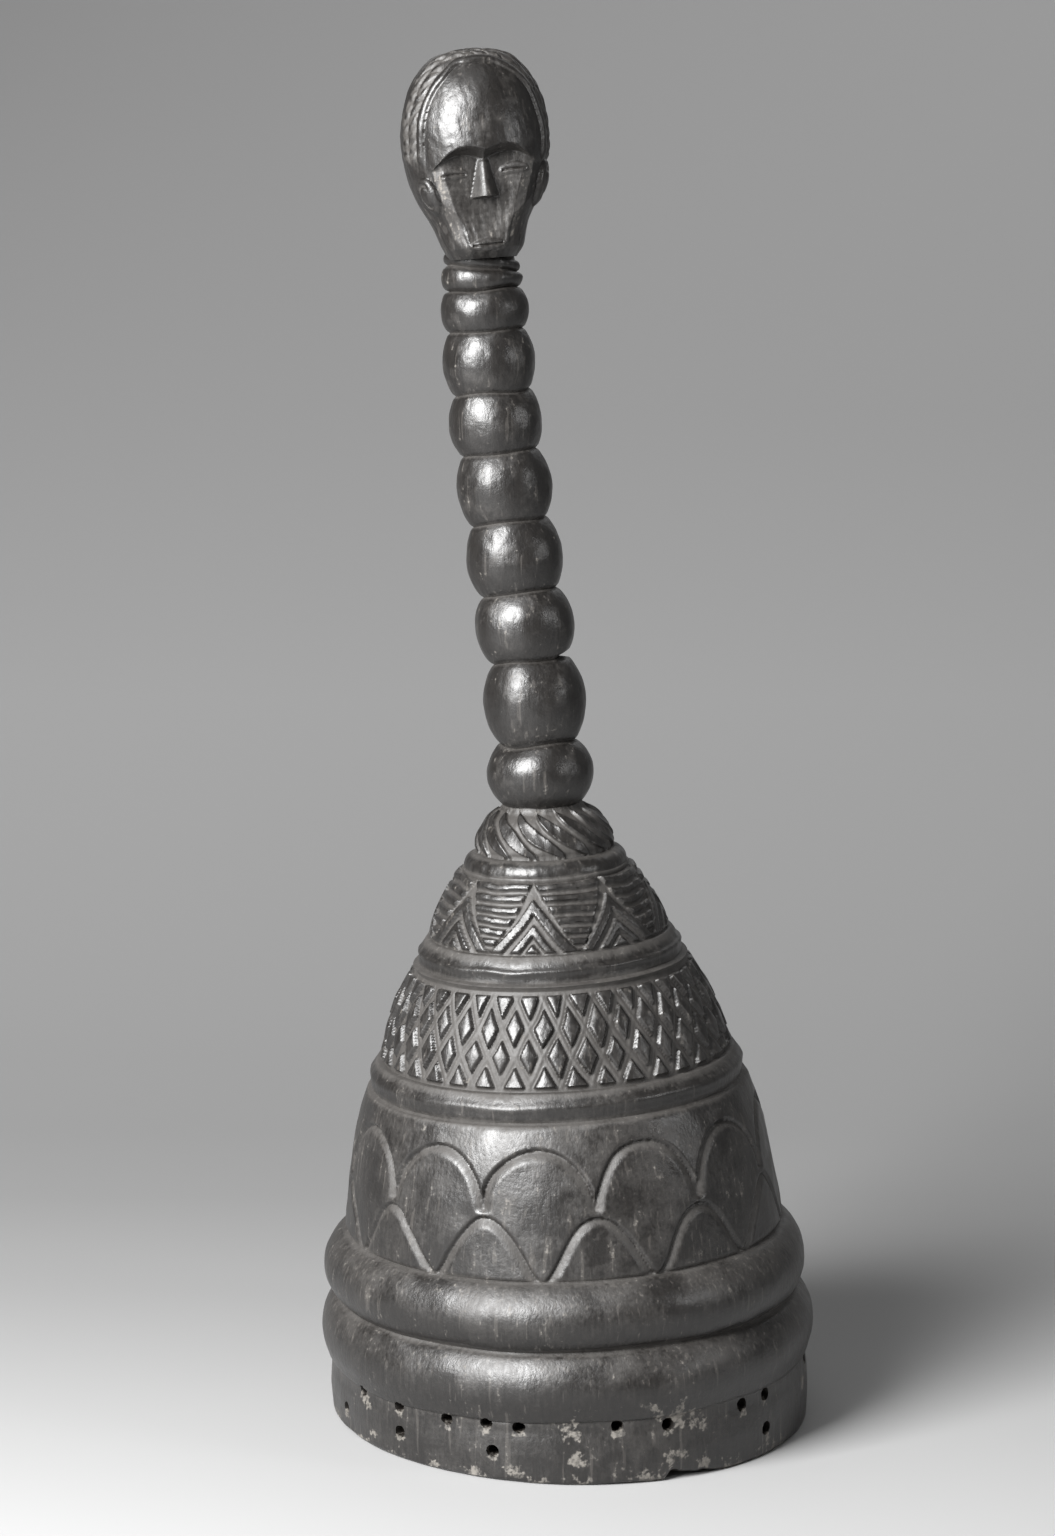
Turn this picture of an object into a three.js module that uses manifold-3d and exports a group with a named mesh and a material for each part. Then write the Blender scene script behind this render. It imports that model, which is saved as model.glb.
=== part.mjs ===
// A tall helmet mask, carved from one block of dark wood. A bell, hollow and open below, goes over the
// wearer's head. A neck of stacked beads rises from it, leaning, and carries a small head.
// Millimetres, +Z up. The front faces -Y, and the origin is under the middle of the whole mask.
//
// The mask is first made straight and round, about the Z axis: the bell as a skin over rings of points,
// the neck and the head turned. At the end every point is carried over to the real stance: the bell
// oval in plan, and everything square to a leaning centre line.

import * as THREE from 'three';
import Module from 'manifold-3d';
import { mergeVertices } from 'three/addons/utils/BufferGeometryUtils.js';

const wasm = await Module();
wasm.setup();

// Facets round each form
const BELL_FACETS = 30;
const CAVITY_FACETS = 20;
const NECK_FACETS = 12;
const HEAD_FACETS = 16;

// The bell's outline: radius across the width, height
const RIM = { radius: 119, height: 29.5 };
const LOWER_ROLL = { radius: 117.6, from: 30.8, swell: 6.6 };
const UPPER_ROLL = { radius: 115.3, from: 64.3, swell: 7.8 };
const SHELL = [[108.6, 97.4], [109.2, 99.5], [107.2, 120.5], [102.2, 148], [95, 170.5]];
const WIDE_RIDGE = { radius: 92.6, from: 171.6, swell: 1.6 };
const LATTICE_FIELD = [[88.9, 185.2], [80.4, 210.6], [68.6, 232.6]];
const NARROW_RIDGE = { radius: 65.7, from: 233.6, swell: 1.2 };
const CHEVRON_FIELD = [[60.6, 246.2], [55.6, 259.6], [45.2, 276.6], [41.8, 280]];
const RING = { radius: 40.4, from: 280.4, swell: 1.7 };
const DOME = [[34.4, 287.6], [34.9, 291.6], [33.4, 296.4], [30.4, 301.4], [26.6, 306.4], [18, 312]];
const ROLL_STEPS = 4;
const RIDGE_STEPS = 3;

// The hollow that the wearer's head goes into
const CAVITY = [[106, 0], [105, 40], [99, 98], [93, 140], [80, 178], [62, 208], [36, 232], [0, 244]];

// The neck: the seams' heights from the dome up, the radius of the bead over each, and the collar
const BEAD_SEAMS = [310, 341.4, 382, 415, 450, 483.7, 513.4, 543.2, 563.7];
const BEAD_RADII = [26.4, 25.3, 24.8, 23.9, 23.5, 23, 22.8, 21.8];
const SEAM_RADIUS = 18.6;
const BEAD_STEPS = 4;
const COLLAR_SEAMS = [563.7, 573.6, 579.6];
const COLLAR_RADII = [20, 18.4];
const COLLAR_SEAM_RADIUS = 17;
const COLLAR_STEPS = 3;
const NECK_ROOT = { radius: 15, height: 300 };
const NECK_TIP = { radius: 14, height: 592 };

// An old break in the neck, repaired, which gapes at one side
const BREAK = { seam: 2, gap: 1.1, depth: 8.5, angle: 75 };

// Carving: counts round the bell, grooves as depth and half-widths
const PETALS = 12;
const PETAL_GROOVE = { depth: 2.1, inner: 3.2, outer: 1.1 };
const UPPER_PETALS = { angle: 8.5, foot: 130.5, rise: 28.5, halfAngle: 15, flare: 1 };
const LOWER_PETALS = { angle: -6.5, foot: 97, rise: 30, halfAngle: 14.5, flare: 2.7 };
const PETAL_STEPS = 5;

const DIAMONDS = 36;
const DIAMOND_RISE = 26.8;
const DIAMOND_ROW = 214.8;
const LATTICE_DEPTH = 2.4;
const DIAMOND_PROUD = 0.4;

// One chevron tile is a grid of CHEVRON_ROWS rows and twice as many columns. Its legs are diagonals.
const CHEVRONS = 8;
const CHEVRON_ROWS = 8;
const CHEVRON_GROOVES = [8, 7, 4, 2];
const CHEVRON_DEPTH = 1.5;
const BAR_DEPTH = 1.2;

const FLUTES = BELL_FACETS / 2;
const FLUTE_DEPTH = 1.9;

// Lashing holes through the rim: angle from the front, height; and a chip in the rim's lower edge
const HOLE_RADIUS = 2.9;
const HOLE_FACETS = 5;
const HOLE_REACH = 40;
const HOLES = [
  [-74.2, 29.8], [-60, 29.5], [-46.2, 28.5], [-35.8, 29.5], [-28, 28.5], [-5, 28.5], [7.2, 26.5],
  [29, 27], [37.5, 27.8], [-84.8, 13], [-59.8, 16], [-34.5, 15.5], [37.2, 12.2],
  [66, 28], [105, 27.5], [145, 28], [-170, 27.5], [-118, 28],
];
const CHIP = { angle: 13, halfWidth: 15, height: 3.2, depth: 9 };

// The head, in shares of its height and of its half width
const HEAD = { chin: 578.6, height: 101.6, halfWidth: 35.6, depthRatio: 1.08 };
const HEAD_OUTLINE = [
  [0.46, 0], [0.56, 0.06], [0.67, 0.17], [0.83, 0.28], [0.95, 0.4], [1, 0.53], [0.99, 0.65],
  [0.92, 0.77], [0.79, 0.87], [0.55, 0.96], [0.3, 1],
];
const CHIN_FORWARD = 11;
const UNDER_CHIN = 0.6;
const LEVEL_WITH_AXIS = 0.6;
const FACE = { brow: 0.47, chin: -0.02, chinEdge: 0.05, halfWidth: 0.74, chinHalfWidth: 0.22 };
const FACE_DEPTH = { brow: 0.78, chin: 0.8 };
const BROW_ARCH = 0.035;
const FEATURE_PROUD = 2.4;
const NOSE = { top: 0.46, bottom: 0.29, tipRadius: 7.6, rootRadius: 3.4 };
const EYE = { height: 0.415, apart: 0.42, halfLength: 0.2, halfHeight: 0.028, slit: 1 };
const MOUTH = { height: 0.06, halfLength: 0.25, halfHeight: 0.03, slit: 0.9 };
const EAR = { angle: 68, height: 0.36, halfHeight: 0.115, halfDepth: 5.2, proud: 2.6 };
const HEAD_TURN = -5.5;
const HAIR = { front: -17, lean: 6, rows: 2, width: 6.4, apart: 10.5, proud: 1.8, foot: 0.45 };

// The real stance: the rim is longer from front to back, and evens out to round up the bell
const OVAL_AT_RIM = 1.12;
const ROUND_ABOVE = 300;
const CENTRE_HEIGHTS = [0, 60, 120, 200, 250, 300, 361, 433, 500, 554, 620, 690];
const CENTRE_OFFSETS = [
  [0, 0], [-1.6, 0.4], [-3.8, 1], [-7.7, 2.1], [-10.3, 2.8], [-12.6, 3.6], [-16.4, 6.5],
  [-24.3, 15.8], [-32, 24.1], [-35.8, 29.8], [-38.7, 36.3], [-40.2, 42.8],
];

const CLEARANCE = 2.5;
// Two points of neighbouring rings count as level round the bell within this angle
const ANGLE_STEP = 0.1;
// How strongly an edge between rings is drawn into the grooves
const GROOVE_PULL = 0.1;
const FRONT = -Math.PI / 2;
const radians = THREE.MathUtils.degToRad;

// Solids

/** The geometry as a closed solid with its faces pointing out. */
function solid(geometry) {
  const bare = new THREE.BufferGeometry();
  bare.setAttribute('position', geometry.getAttribute('position').clone());
  bare.setIndex(geometry.getIndex());
  const merged = mergeVertices(bare, 1e-4);
  const corners = Array.from(merged.getAttribute('position').array);
  const index = Array.from(merged.getIndex().array);
  const triangles = [];
  for (let i = 0; i < index.length; i += 3) {
    const [a, b, c] = index.slice(i, i + 3);
    if (a !== b && b !== c && c !== a) triangles.push(a, b, c);
  }
  if (signedVolume(corners, triangles) < 0) triangles.reverse();
  return new wasm.Manifold(new wasm.Mesh({
    numProp: 3,
    vertProperties: new Float32Array(corners),
    triVerts: new Uint32Array(triangles),
  }));
}

function signedVolume(corners, triangles) {
  const corner = (i) => new THREE.Vector3().fromArray(corners, 3 * i);
  let volume = 0;
  for (let i = 0; i < triangles.length; i += 3) {
    const [a, b, c] = triangles.slice(i, i + 3).map(corner);
    volume += a.dot(b.cross(c)) / 6;
  }
  return volume;
}

const joined = (solids) => solids.reduce((all, next) => all.add(next));

/** Moves every point of a geometry. */
function reshape(geometry, move) {
  const position = geometry.getAttribute('position');
  const point = new THREE.Vector3();
  for (let i = 0; i < position.count; i += 1) {
    point.fromBufferAttribute(position, i);
    move(point);
    position.setXYZ(i, point.x, point.y, point.z);
  }
  return geometry;
}

/** A solid turned about the Z axis from an outline of [radius, height] that starts and ends on it. */
function turned(outline, facets) {
  const points = outline.map(([radius, height]) => new THREE.Vector2(radius, height));
  return solid(new THREE.LatheGeometry(points, facets).rotateX(Math.PI / 2).rotateZ(FRONT));
}

/** Steps of an arc that swells outwards from one [radius, height] to the next, without its last point. */
function swelling(from, to, swell, steps) {
  const start = new THREE.Vector2(...from);
  const chord = new THREE.Vector2(...to).sub(start);
  const outward = new THREE.Vector2(chord.y, -chord.x).normalize();
  const half = chord.length() / 2;
  const radius = (half * half + swell * swell) / (2 * swell);
  const halfAngle = Math.asin(half / radius);
  return Array.from({ length: steps }, (_, i) => {
    const angle = halfAngle * ((2 * i) / steps - 1);
    const along = (1 + (radius * Math.sin(angle)) / half) / 2;
    const out = radius * Math.cos(angle) - (radius - swell);
    return start.clone().addScaledVector(chord, along).addScaledVector(outward, out).toArray();
  });
}

/** A ridge or roll that ends where the next stretch of the outline starts. */
const ridgeTo = (ridge, next, steps) => swelling([ridge.radius, ridge.from], next, ridge.swell, steps);

/** Radius of a stretch of outline at a height. */
function radiusOn(outline, height) {
  const above = outline.findIndex(([, z]) => z >= height);
  const i = above < 0 ? outline.length - 1 : Math.max(above, 1);
  const [lowRadius, low] = outline[i - 1];
  const [highRadius, high] = outline[i];
  return THREE.MathUtils.mapLinear(height, low, high, lowRadius, highRadius);
}

// The bell's skin. A ring is a row of points round the axis, from the back round to the back again,
// each at the ring's radius less a depth of carving.

function ring(radius, height, count, depthAt = () => 0) {
  const points = Array.from({ length: count }, (_, i) => {
    const angle = (360 / count) * i - 180;
    const depth = depthAt(angle, i);
    const reach = radius - depth;
    const place = [reach * Math.sin(radians(angle)), -reach * Math.cos(radians(angle)), height];
    return { angle, depth, place };
  });
  return [...points, { ...points[0], angle: 180 }];
}

/** Whether the next triangle between two rings takes the lower ring's next point. */
function takesLower(lower, upper, nextLower, nextUpper) {
  if (!nextLower) return false;
  if (!nextUpper) return true;
  if (Math.abs(nextUpper.angle - nextLower.angle) > ANGLE_STEP) return nextUpper.angle > nextLower.angle;
  const unevenness = (a, b) => Math.abs(a.depth - b.depth) - GROOVE_PULL * (a.depth + b.depth);
  return unevenness(nextLower, upper) < unevenness(lower, nextUpper);
}

/** Triangles between two rings. Where both edges would do, the edge runs along a groove or a ridge. */
function strip(lower, upper) {
  const triangles = [];
  let i = 0;
  let j = 0;
  while (i < lower.length - 1 || j < upper.length - 1) {
    const onLower = takesLower(lower[i], upper[j], lower[i + 1], upper[j + 1]);
    const next = onLower ? lower[i + 1] : upper[j + 1];
    triangles.push(lower[i].place, next.place, upper[j].place);
    if (onLower) i += 1;
    else j += 1;
  }
  return triangles;
}

/** A closed solid over rings from the lowest to the highest, with a flat fan at either end. */
function skinned(rings) {
  const fan = (points) => {
    const middle = [0, 0, points[0].place[2]];
    return points.slice(1).flatMap((point, i) => [points[i].place, point.place, middle]);
  };
  const base = fan(rings[0]).reverse();
  const sides = rings.slice(1).flatMap((upper, i) => strip(rings[i], upper));
  const top = fan(rings.at(-1));
  const corners = [...base, ...sides, ...top].flat();
  const skin = new THREE.BufferGeometry();
  skin.setAttribute('position', new THREE.Float32BufferAttribute(corners, 3));
  return solid(skin);
}

const plainRings = (outline) => outline.map(([radius, height]) => ring(radius, height, BELL_FACETS));

/** Rows of diamonds, each row half a diamond round from the last, with grooves crossing between them. */
function latticeRings() {
  const [, low] = LATTICE_FIELD[0];
  const [, high] = LATTICE_FIELD.at(-1);
  const count = 2 * DIAMONDS;
  const rowRise = DIAMOND_RISE / 2;
  const rows = [];
  for (let row = Math.ceil((low - DIAMOND_ROW) / rowRise); DIAMOND_ROW + row * rowRise < high; row += 1) {
    const height = DIAMOND_ROW + row * rowRise;
    const isGroove = (angle, i) => (i + row + DIAMONDS) % 2 !== 0;
    const depthAt = (angle, i) => (isGroove(angle, i) ? LATTICE_DEPTH : -DIAMOND_PROUD);
    rows.push(ring(radiusOn(LATTICE_FIELD, height), height, count, depthAt));
  }
  const edge = ([radius, height]) => ring(radius, height, BELL_FACETS, () => LATTICE_DEPTH);
  return [edge(LATTICE_FIELD[0]), ...rows, edge(LATTICE_FIELD.at(-1))];
}

/** Tall triangles of nested chevrons, and hanging triangles of level bars between them. */
function chevronRings() {
  const [, low] = CHEVRON_FIELD[0];
  const [, high] = CHEVRON_FIELD.at(-1);
  const tile = 2 * CHEVRON_ROWS;
  const depthAt = (column, row) => {
    const across = Math.abs((column % tile) - CHEVRON_ROWS);
    const leg = across + row;
    if (leg <= CHEVRON_ROWS) return CHEVRON_GROOVES.includes(leg) ? CHEVRON_DEPTH : 0;
    return (CHEVRON_ROWS - row) % 2 === 0 ? BAR_DEPTH : 0;
  };
  return Array.from({ length: CHEVRON_ROWS + 1 }, (_, row) => {
    const height = THREE.MathUtils.lerp(low, high, row / CHEVRON_ROWS);
    const radius = radiusOn(CHEVRON_FIELD, height);
    return ring(radius, height, CHEVRONS * tile, (angle, column) => depthAt(column, row));
  });
}

/** Flutes that lean over by one facet from ring to ring, between the dome's first ring and its last. */
function domeRings() {
  return DOME.map(([radius, height], row) => {
    const cut = row > 0 && row < DOME.length - 1;
    return ring(radius, height, 2 * FLUTES, (angle, i) => (cut && (i + row) % 2 === 0 ? FLUTE_DEPTH : 0));
  });
}

// The petals on the shell, cut as grooves. A groove is drawn flat, x along the girth and y up, both
// in millimetres, with z out of the wood, and then wrapped round the shell.

/** A V groove along a flat curve. Outer is its half width to the left of the way along. */
function groove(curve, steps, { depth, inner, outer }) {
  const spread = (depth + CLEARANCE) / depth;
  const section = new THREE.Shape([
    new THREE.Vector2(depth, 0),
    new THREE.Vector2(-CLEARANCE, -inner * spread),
    new THREE.Vector2(-CLEARANCE, outer * spread),
  ]);
  return new THREE.ExtrudeGeometry(section, { steps, extrudePath: curve });
}

/** The outline of one petal: a half ellipse, its feet running out flat where it has a flare above 1. */
class PetalCurve extends THREE.Curve {
  constructor(middle, foot, halfWidth, rise, flare) {
    super();
    Object.assign(this, { middle, foot, halfWidth, rise, flare });
  }

  getPoint(t, target = new THREE.Vector3()) {
    const across = this.middle - this.halfWidth * Math.cos(Math.PI * t);
    const up = this.foot + this.rise * Math.sin(Math.PI * t) ** this.flare;
    return target.set(across, up, 0);
  }
}

function petalRow({ angle, foot, rise, halfAngle, flare }) {
  const girthRadius = radiusOn(SHELL, foot + rise / 2);
  const halfWidth = radians(halfAngle) * girthRadius;
  return joined(Array.from({ length: PETALS }, (_, i) => {
    const middle = radians(angle + (360 / PETALS) * i) * girthRadius;
    const cutter = groove(new PetalCurve(middle, foot, halfWidth, rise, flare), PETAL_STEPS, PETAL_GROOVE);
    return solid(reshape(cutter, (point) => {
      const turn = point.x / girthRadius;
      const radius = radiusOn(SHELL, point.y) + point.z;
      point.set(radius * Math.sin(turn), -radius * Math.cos(turn), point.y);
    }));
  }));
}

// The rim

/** A tool that points at the axis from outside, at an angle from the front. */
function aimed(geometry, angle, distance, height) {
  return solid(geometry.translate(0, -distance, height).rotateZ(radians(angle)));
}

function rimHoles() {
  return joined(HOLES.map(([angle, height]) => {
    const drill = new THREE.CylinderGeometry(HOLE_RADIUS, HOLE_RADIUS, HOLE_REACH, HOLE_FACETS);
    return aimed(drill, angle, RIM.radius, height);
  }));
}

function rimChip() {
  const { angle, halfWidth, height, depth } = CHIP;
  const wedge = new THREE.Shape([
    new THREE.Vector2(-halfWidth, -1),
    new THREE.Vector2(halfWidth, -1),
    new THREE.Vector2(halfWidth / 2, height * 0.7),
    new THREE.Vector2(-halfWidth / 3, height),
  ]);
  const bite = new THREE.ExtrudeGeometry(wedge, { depth: 2 * depth, bevelEnabled: false });
  return aimed(bite.rotateX(Math.PI / 2), angle, RIM.radius - depth, 0);
}

// The bell and the neck

function bell() {
  return skinned([
    ...plainRings([[RIM.radius, 0], [RIM.radius, RIM.height]]),
    ...plainRings(ridgeTo(LOWER_ROLL, [UPPER_ROLL.radius, UPPER_ROLL.from], ROLL_STEPS)),
    ...plainRings(ridgeTo(UPPER_ROLL, SHELL[0], ROLL_STEPS)),
    ...plainRings(SHELL),
    ...plainRings(ridgeTo(WIDE_RIDGE, LATTICE_FIELD[0], RIDGE_STEPS)),
    ...latticeRings(),
    ...plainRings(ridgeTo(NARROW_RIDGE, CHEVRON_FIELD[0], RIDGE_STEPS)),
    ...chevronRings(),
    ...plainRings(ridgeTo(RING, DOME[0], RIDGE_STEPS)),
    ...domeRings(),
  ]);
}

function cavity() {
  const [mouthRadius] = CAVITY[0];
  return turned([[0, -CLEARANCE], [mouthRadius, -CLEARANCE], ...CAVITY.slice(1)], CAVITY_FACETS);
}

function neck() {
  const outline = [[0, NECK_ROOT.height], [NECK_ROOT.radius, NECK_ROOT.height]];
  const stack = (radii, seams, seamRadius, steps) => radii.forEach((radius, i) => {
    const [from, to] = seams.slice(i, i + 2).map((height) => [seamRadius, height]);
    outline.push(...swelling(from, to, radius - seamRadius, steps));
  });
  stack(BEAD_RADII, BEAD_SEAMS, SEAM_RADIUS, BEAD_STEPS);
  stack(COLLAR_RADII, COLLAR_SEAMS, COLLAR_SEAM_RADIUS, COLLAR_STEPS);
  outline.push([COLLAR_SEAM_RADIUS, COLLAR_SEAMS.at(-1)]);
  outline.push([NECK_TIP.radius, NECK_TIP.height], [0, NECK_TIP.height]);
  return turned(outline, NECK_FACETS);
}

function neckBreak() {
  const { seam, gap, depth, angle } = BREAK;
  const slot = new THREE.BoxGeometry(3 * SEAM_RADIUS, SEAM_RADIUS, gap);
  return aimed(slot, angle, SEAM_RADIUS * 1.5 - depth, BEAD_SEAMS[seam]);
}

// The head

const headHeight = (share) => HEAD.chin + share * HEAD.height;

/** How far the head juts forward of its axis at a share of its height: most at the chin, less under it. */
function jutting(share) {
  const underChin = Math.min(1, UNDER_CHIN + (1 - UNDER_CHIN) * (share / FACE.chinEdge));
  return CHIN_FORWARD * underChin * Math.max(0, 1 - share / LEVEL_WITH_AXIS) ** 2;
}

/** Where the head's surface is at a share of its height and an angle from the front. */
function onHead(share, angle, proud = 0) {
  const radius = radiusOn(HEAD_OUTLINE, share) * HEAD.halfWidth + proud;
  return new THREE.Vector3(
    radius * Math.sin(angle),
    -radius * HEAD.depthRatio * Math.cos(angle) - jutting(share),
    headHeight(share),
  );
}

function skull(proud = 0) {
  const outline = HEAD_OUTLINE.map(([width, share]) => [width * HEAD.halfWidth + proud, headHeight(share)]);
  const closed = [[0, headHeight(0)], ...outline, [0, headHeight(1) + proud]];
  const points = closed.map(([radius, height]) => new THREE.Vector2(radius, height));
  const lathe = new THREE.LatheGeometry(points, HEAD_FACETS).rotateX(Math.PI / 2).rotateZ(FRONT);
  return solid(reshape(lathe, (point) => {
    const share = (point.z - HEAD.chin) / HEAD.height;
    point.y = point.y * HEAD.depthRatio - jutting(share);
  }));
}

/** Depth of the flat face in front of the axis, at a share of the head's height. */
function faceDepth(share) {
  const { brow, chin } = FACE;
  return THREE.MathUtils.mapLinear(share, chin, brow, FACE_DEPTH.chin, FACE_DEPTH.brow) * HEAD.halfWidth;
}

/** What is cut away in front of the flat, three-cornered face. */
function faceCut() {
  const { brow, chin, halfWidth, chinHalfWidth } = FACE;
  const wide = halfWidth * HEAD.halfWidth;
  const narrow = chinHalfWidth * HEAD.halfWidth;
  const outline = new THREE.Shape();
  outline.moveTo(-narrow, headHeight(chin));
  outline.lineTo(narrow, headHeight(chin));
  outline.lineTo(wide, headHeight(brow) - BROW_ARCH * HEAD.height);
  outline.quadraticCurveTo(wide / 2, headHeight(brow + BROW_ARCH), 0, headHeight(brow));
  outline.quadraticCurveTo(-wide / 2, headHeight(brow + BROW_ARCH), -wide, headHeight(brow - BROW_ARCH));
  const reach = HEAD.halfWidth;
  const block = new THREE.ExtrudeGeometry(outline, { depth: reach, bevelEnabled: false, curveSegments: 4 });
  return solid(reshape(block.rotateX(Math.PI / 2), (point) => {
    const share = (point.z - HEAD.chin) / HEAD.height;
    const out = -point.y / reach;
    point.y = -faceDepth(share) - out * reach;
  }));
}

/** A small flat swelling on the face, such as an eyelid or the lips, with its slit to be cut. */
function feature(across, share, halfLength, halfHeight) {
  const lozenge = new THREE.SphereGeometry(1, 8, 4);
  lozenge.scale(halfLength * HEAD.halfWidth, FEATURE_PROUD, halfHeight * HEAD.height);
  return solid(lozenge.translate(across, -faceDepth(share), headHeight(share)));
}

function slit(across, share, halfLength, height) {
  const blade = new THREE.BoxGeometry(1.7 * halfLength * HEAD.halfWidth, 3 * FEATURE_PROUD, height);
  return solid(blade.translate(across, -faceDepth(share) - 1.3 * FEATURE_PROUD, headHeight(share)));
}

function nose() {
  const height = (NOSE.top - NOSE.bottom) * HEAD.height;
  const wedge = new THREE.CylinderGeometry(NOSE.rootRadius, NOSE.tipRadius, height, 4);
  const middle = (NOSE.top + NOSE.bottom) / 2;
  return solid(wedge.rotateX(Math.PI / 2).translate(0, -faceDepth(middle), headHeight(middle)));
}

function ear(side) {
  const { angle, height, halfHeight, halfDepth, proud } = EAR;
  const shell = new THREE.SphereGeometry(1, 8, 6);
  shell.scale(proud * 2, halfDepth, halfHeight * HEAD.height);
  const place = onHead(height, side * radians(angle), -proud);
  return solid(shell.rotateZ(side * radians(angle - 90)).translate(...place.toArray()));
}

/** Rows of braided hair, each from over one ear across the crown to the other. */
function braids() {
  const { front, lean, rows, width, apart, proud, foot } = HAIR;
  const height = (1.1 - foot) * HEAD.height;
  const middle = headHeight(foot) + height / 2;
  const slabs = Array.from({ length: rows }, (_, row) => {
    const slab = new THREE.BoxGeometry(3 * HEAD.halfWidth, width, height);
    return solid(slab.rotateX(radians(lean)).translate(0, front + row * apart, middle));
  });
  return skull(proud).intersect(joined(slabs));
}

function head() {
  const eyeAcross = EYE.apart * HEAD.halfWidth;
  const raised = [
    nose(),
    feature(0, MOUTH.height, MOUTH.halfLength, MOUTH.halfHeight),
    ...[-1, 1].flatMap((side) => [
      ear(side),
      feature(side * eyeAcross, EYE.height, EYE.halfLength, EYE.halfHeight),
    ]),
  ];
  const slits = [
    slit(0, MOUTH.height, MOUTH.halfLength, MOUTH.slit),
    ...[-1, 1].map((side) => slit(side * eyeAcross, EYE.height, EYE.halfLength, EYE.slit)),
  ];
  const carved = skull().add(braids()).subtract(faceCut()).add(joined(raised)).subtract(joined(slits));
  return carved.rotate([0, 0, HEAD_TURN]);
}

// The whole mask, straight, then in its real stance

function straightMask() {
  const petals = joined([petalRow(UPPER_PETALS), petalRow(LOWER_PETALS)]);
  const openings = joined([cavity(), rimHoles(), rimChip(), neckBreak()]);
  return joined([bell().subtract(petals), neck(), head()]).subtract(openings);
}

const centreLine = new THREE.CubicInterpolant(CENTRE_HEIGHTS, CENTRE_OFFSETS.flat(), 2, new Float64Array(2));
centreLine.settings = { endingStart: THREE.ZeroSlopeEnding, endingEnd: THREE.ZeroCurvatureEnding };

function centreAt(height) {
  const [x, y] = centreLine.evaluate(height);
  return new THREE.Vector3(x, y, height);
}

/** Carries a point of the straight mask to its place on the leaning, oval one. */
function stand(point) {
  const step = 0.5;
  const height = point.z;
  const along = centreAt(height + step).sub(centreAt(Math.max(0, height - step))).normalize();
  if (height < step) along.set(0, 0, 1);
  const across = new THREE.Vector3(1, 0, 0).addScaledVector(along, -along.x).normalize();
  const back = new THREE.Vector3().crossVectors(along, across);
  const share = Math.min(height / ROUND_ABOVE, 1);
  const oval = THREE.MathUtils.lerp(OVAL_AT_RIM, 1, share);
  const { x, y } = point;
  point.copy(centreAt(height)).addScaledVector(across, x).addScaledVector(back, y * oval);
}

function geometryOf(manifold) {
  const { vertProperties, triVerts, numProp } = manifold.getMesh();
  const geometry = new THREE.BufferGeometry();
  geometry.setAttribute('position', new THREE.BufferAttribute(new Float32Array(vertProperties), numProp));
  geometry.setIndex(new THREE.BufferAttribute(new Uint32Array(triVerts), 1));
  return geometry;
}

/** Moves the geometry sideways until the middle of its box is on the Z axis. */
function centred(geometry) {
  geometry.computeBoundingBox();
  const middle = geometry.boundingBox.getCenter(new THREE.Vector3());
  return geometry.translate(-middle.x, -middle.y, 0);
}

const wood = new THREE.MeshStandardMaterial({ color: 0x2b2520, roughness: 0.42, metalness: 0 });
const mask = new THREE.Mesh(centred(reshape(geometryOf(straightMask()), stand)), wood);
mask.name = 'mask';
mask.geometry.computeVertexNormals();

const part = new THREE.Group();
part.add(mask);

export default part;
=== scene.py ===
"""The looks of a tall helmet mask of blackened wood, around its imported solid.

The mask is first made straight and round about the Z axis, in millimetres: a grid is wrapped round each
outline into a closed skin, and the carving moves its points in and out. At the end every point is
carried to the real stance, oval in plan and leaning, and into metres.
"""

import math

import bmesh
import bpy
import numpy as np
from mathutils import Matrix, Vector


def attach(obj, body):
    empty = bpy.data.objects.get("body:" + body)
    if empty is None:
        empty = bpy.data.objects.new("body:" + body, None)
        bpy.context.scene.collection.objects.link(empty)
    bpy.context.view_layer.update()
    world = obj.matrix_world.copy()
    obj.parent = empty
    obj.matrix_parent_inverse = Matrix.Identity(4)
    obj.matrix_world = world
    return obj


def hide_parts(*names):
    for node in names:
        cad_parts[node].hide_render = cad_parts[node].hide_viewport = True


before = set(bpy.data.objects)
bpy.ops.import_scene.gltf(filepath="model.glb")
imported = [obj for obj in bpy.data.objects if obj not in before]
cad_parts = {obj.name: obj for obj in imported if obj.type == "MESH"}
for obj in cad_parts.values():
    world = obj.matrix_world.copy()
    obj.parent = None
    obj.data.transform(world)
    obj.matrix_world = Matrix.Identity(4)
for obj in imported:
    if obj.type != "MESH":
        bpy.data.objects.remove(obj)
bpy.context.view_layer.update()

MM = 0.001

# The bell's outside, as radius across the width and height. Rolls and ridges have a first point and a
# swell, and reach to the first point of what is above them. RIM_DEGREE is a degree's length at the rim.
RIM_RADIUS = 119
RIM_DEGREE = math.radians(1) * RIM_RADIUS
RIM_TOP = 29.5
RIM = ((117.4, 0), (118.7, 1.2), (119.2, 14), (118.9, 22), (118.3, 27.5))
LOWER_ROLL = ((117.6, 30.8), 6.6)
UPPER_ROLL = ((115.3, 64.3), 7.8)
SHELL = ((108.6, 97.4), (109.2, 99.5), (107.2, 120.5), (102.2, 148), (95, 170.5))
WIDE_RIDGE = ((92.6, 171.6), 1.6)
LATTICE_FIELD = ((88.9, 185.2), (80.4, 210.6), (68.6, 232.6))
NARROW_RIDGE = ((65.7, 233.6), 1.2)
CHEVRON_FIELD = ((60.6, 246.2), (55.6, 259.6), (45.2, 276.6), (41.8, 280))
RING = ((40.4, 280.4), 1.7)
DOME = ((34.4, 287.6), (34.9, 291.6), (33.4, 296.4), (30.4, 301.4), (26.6, 306.4), (18, 312))

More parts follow.
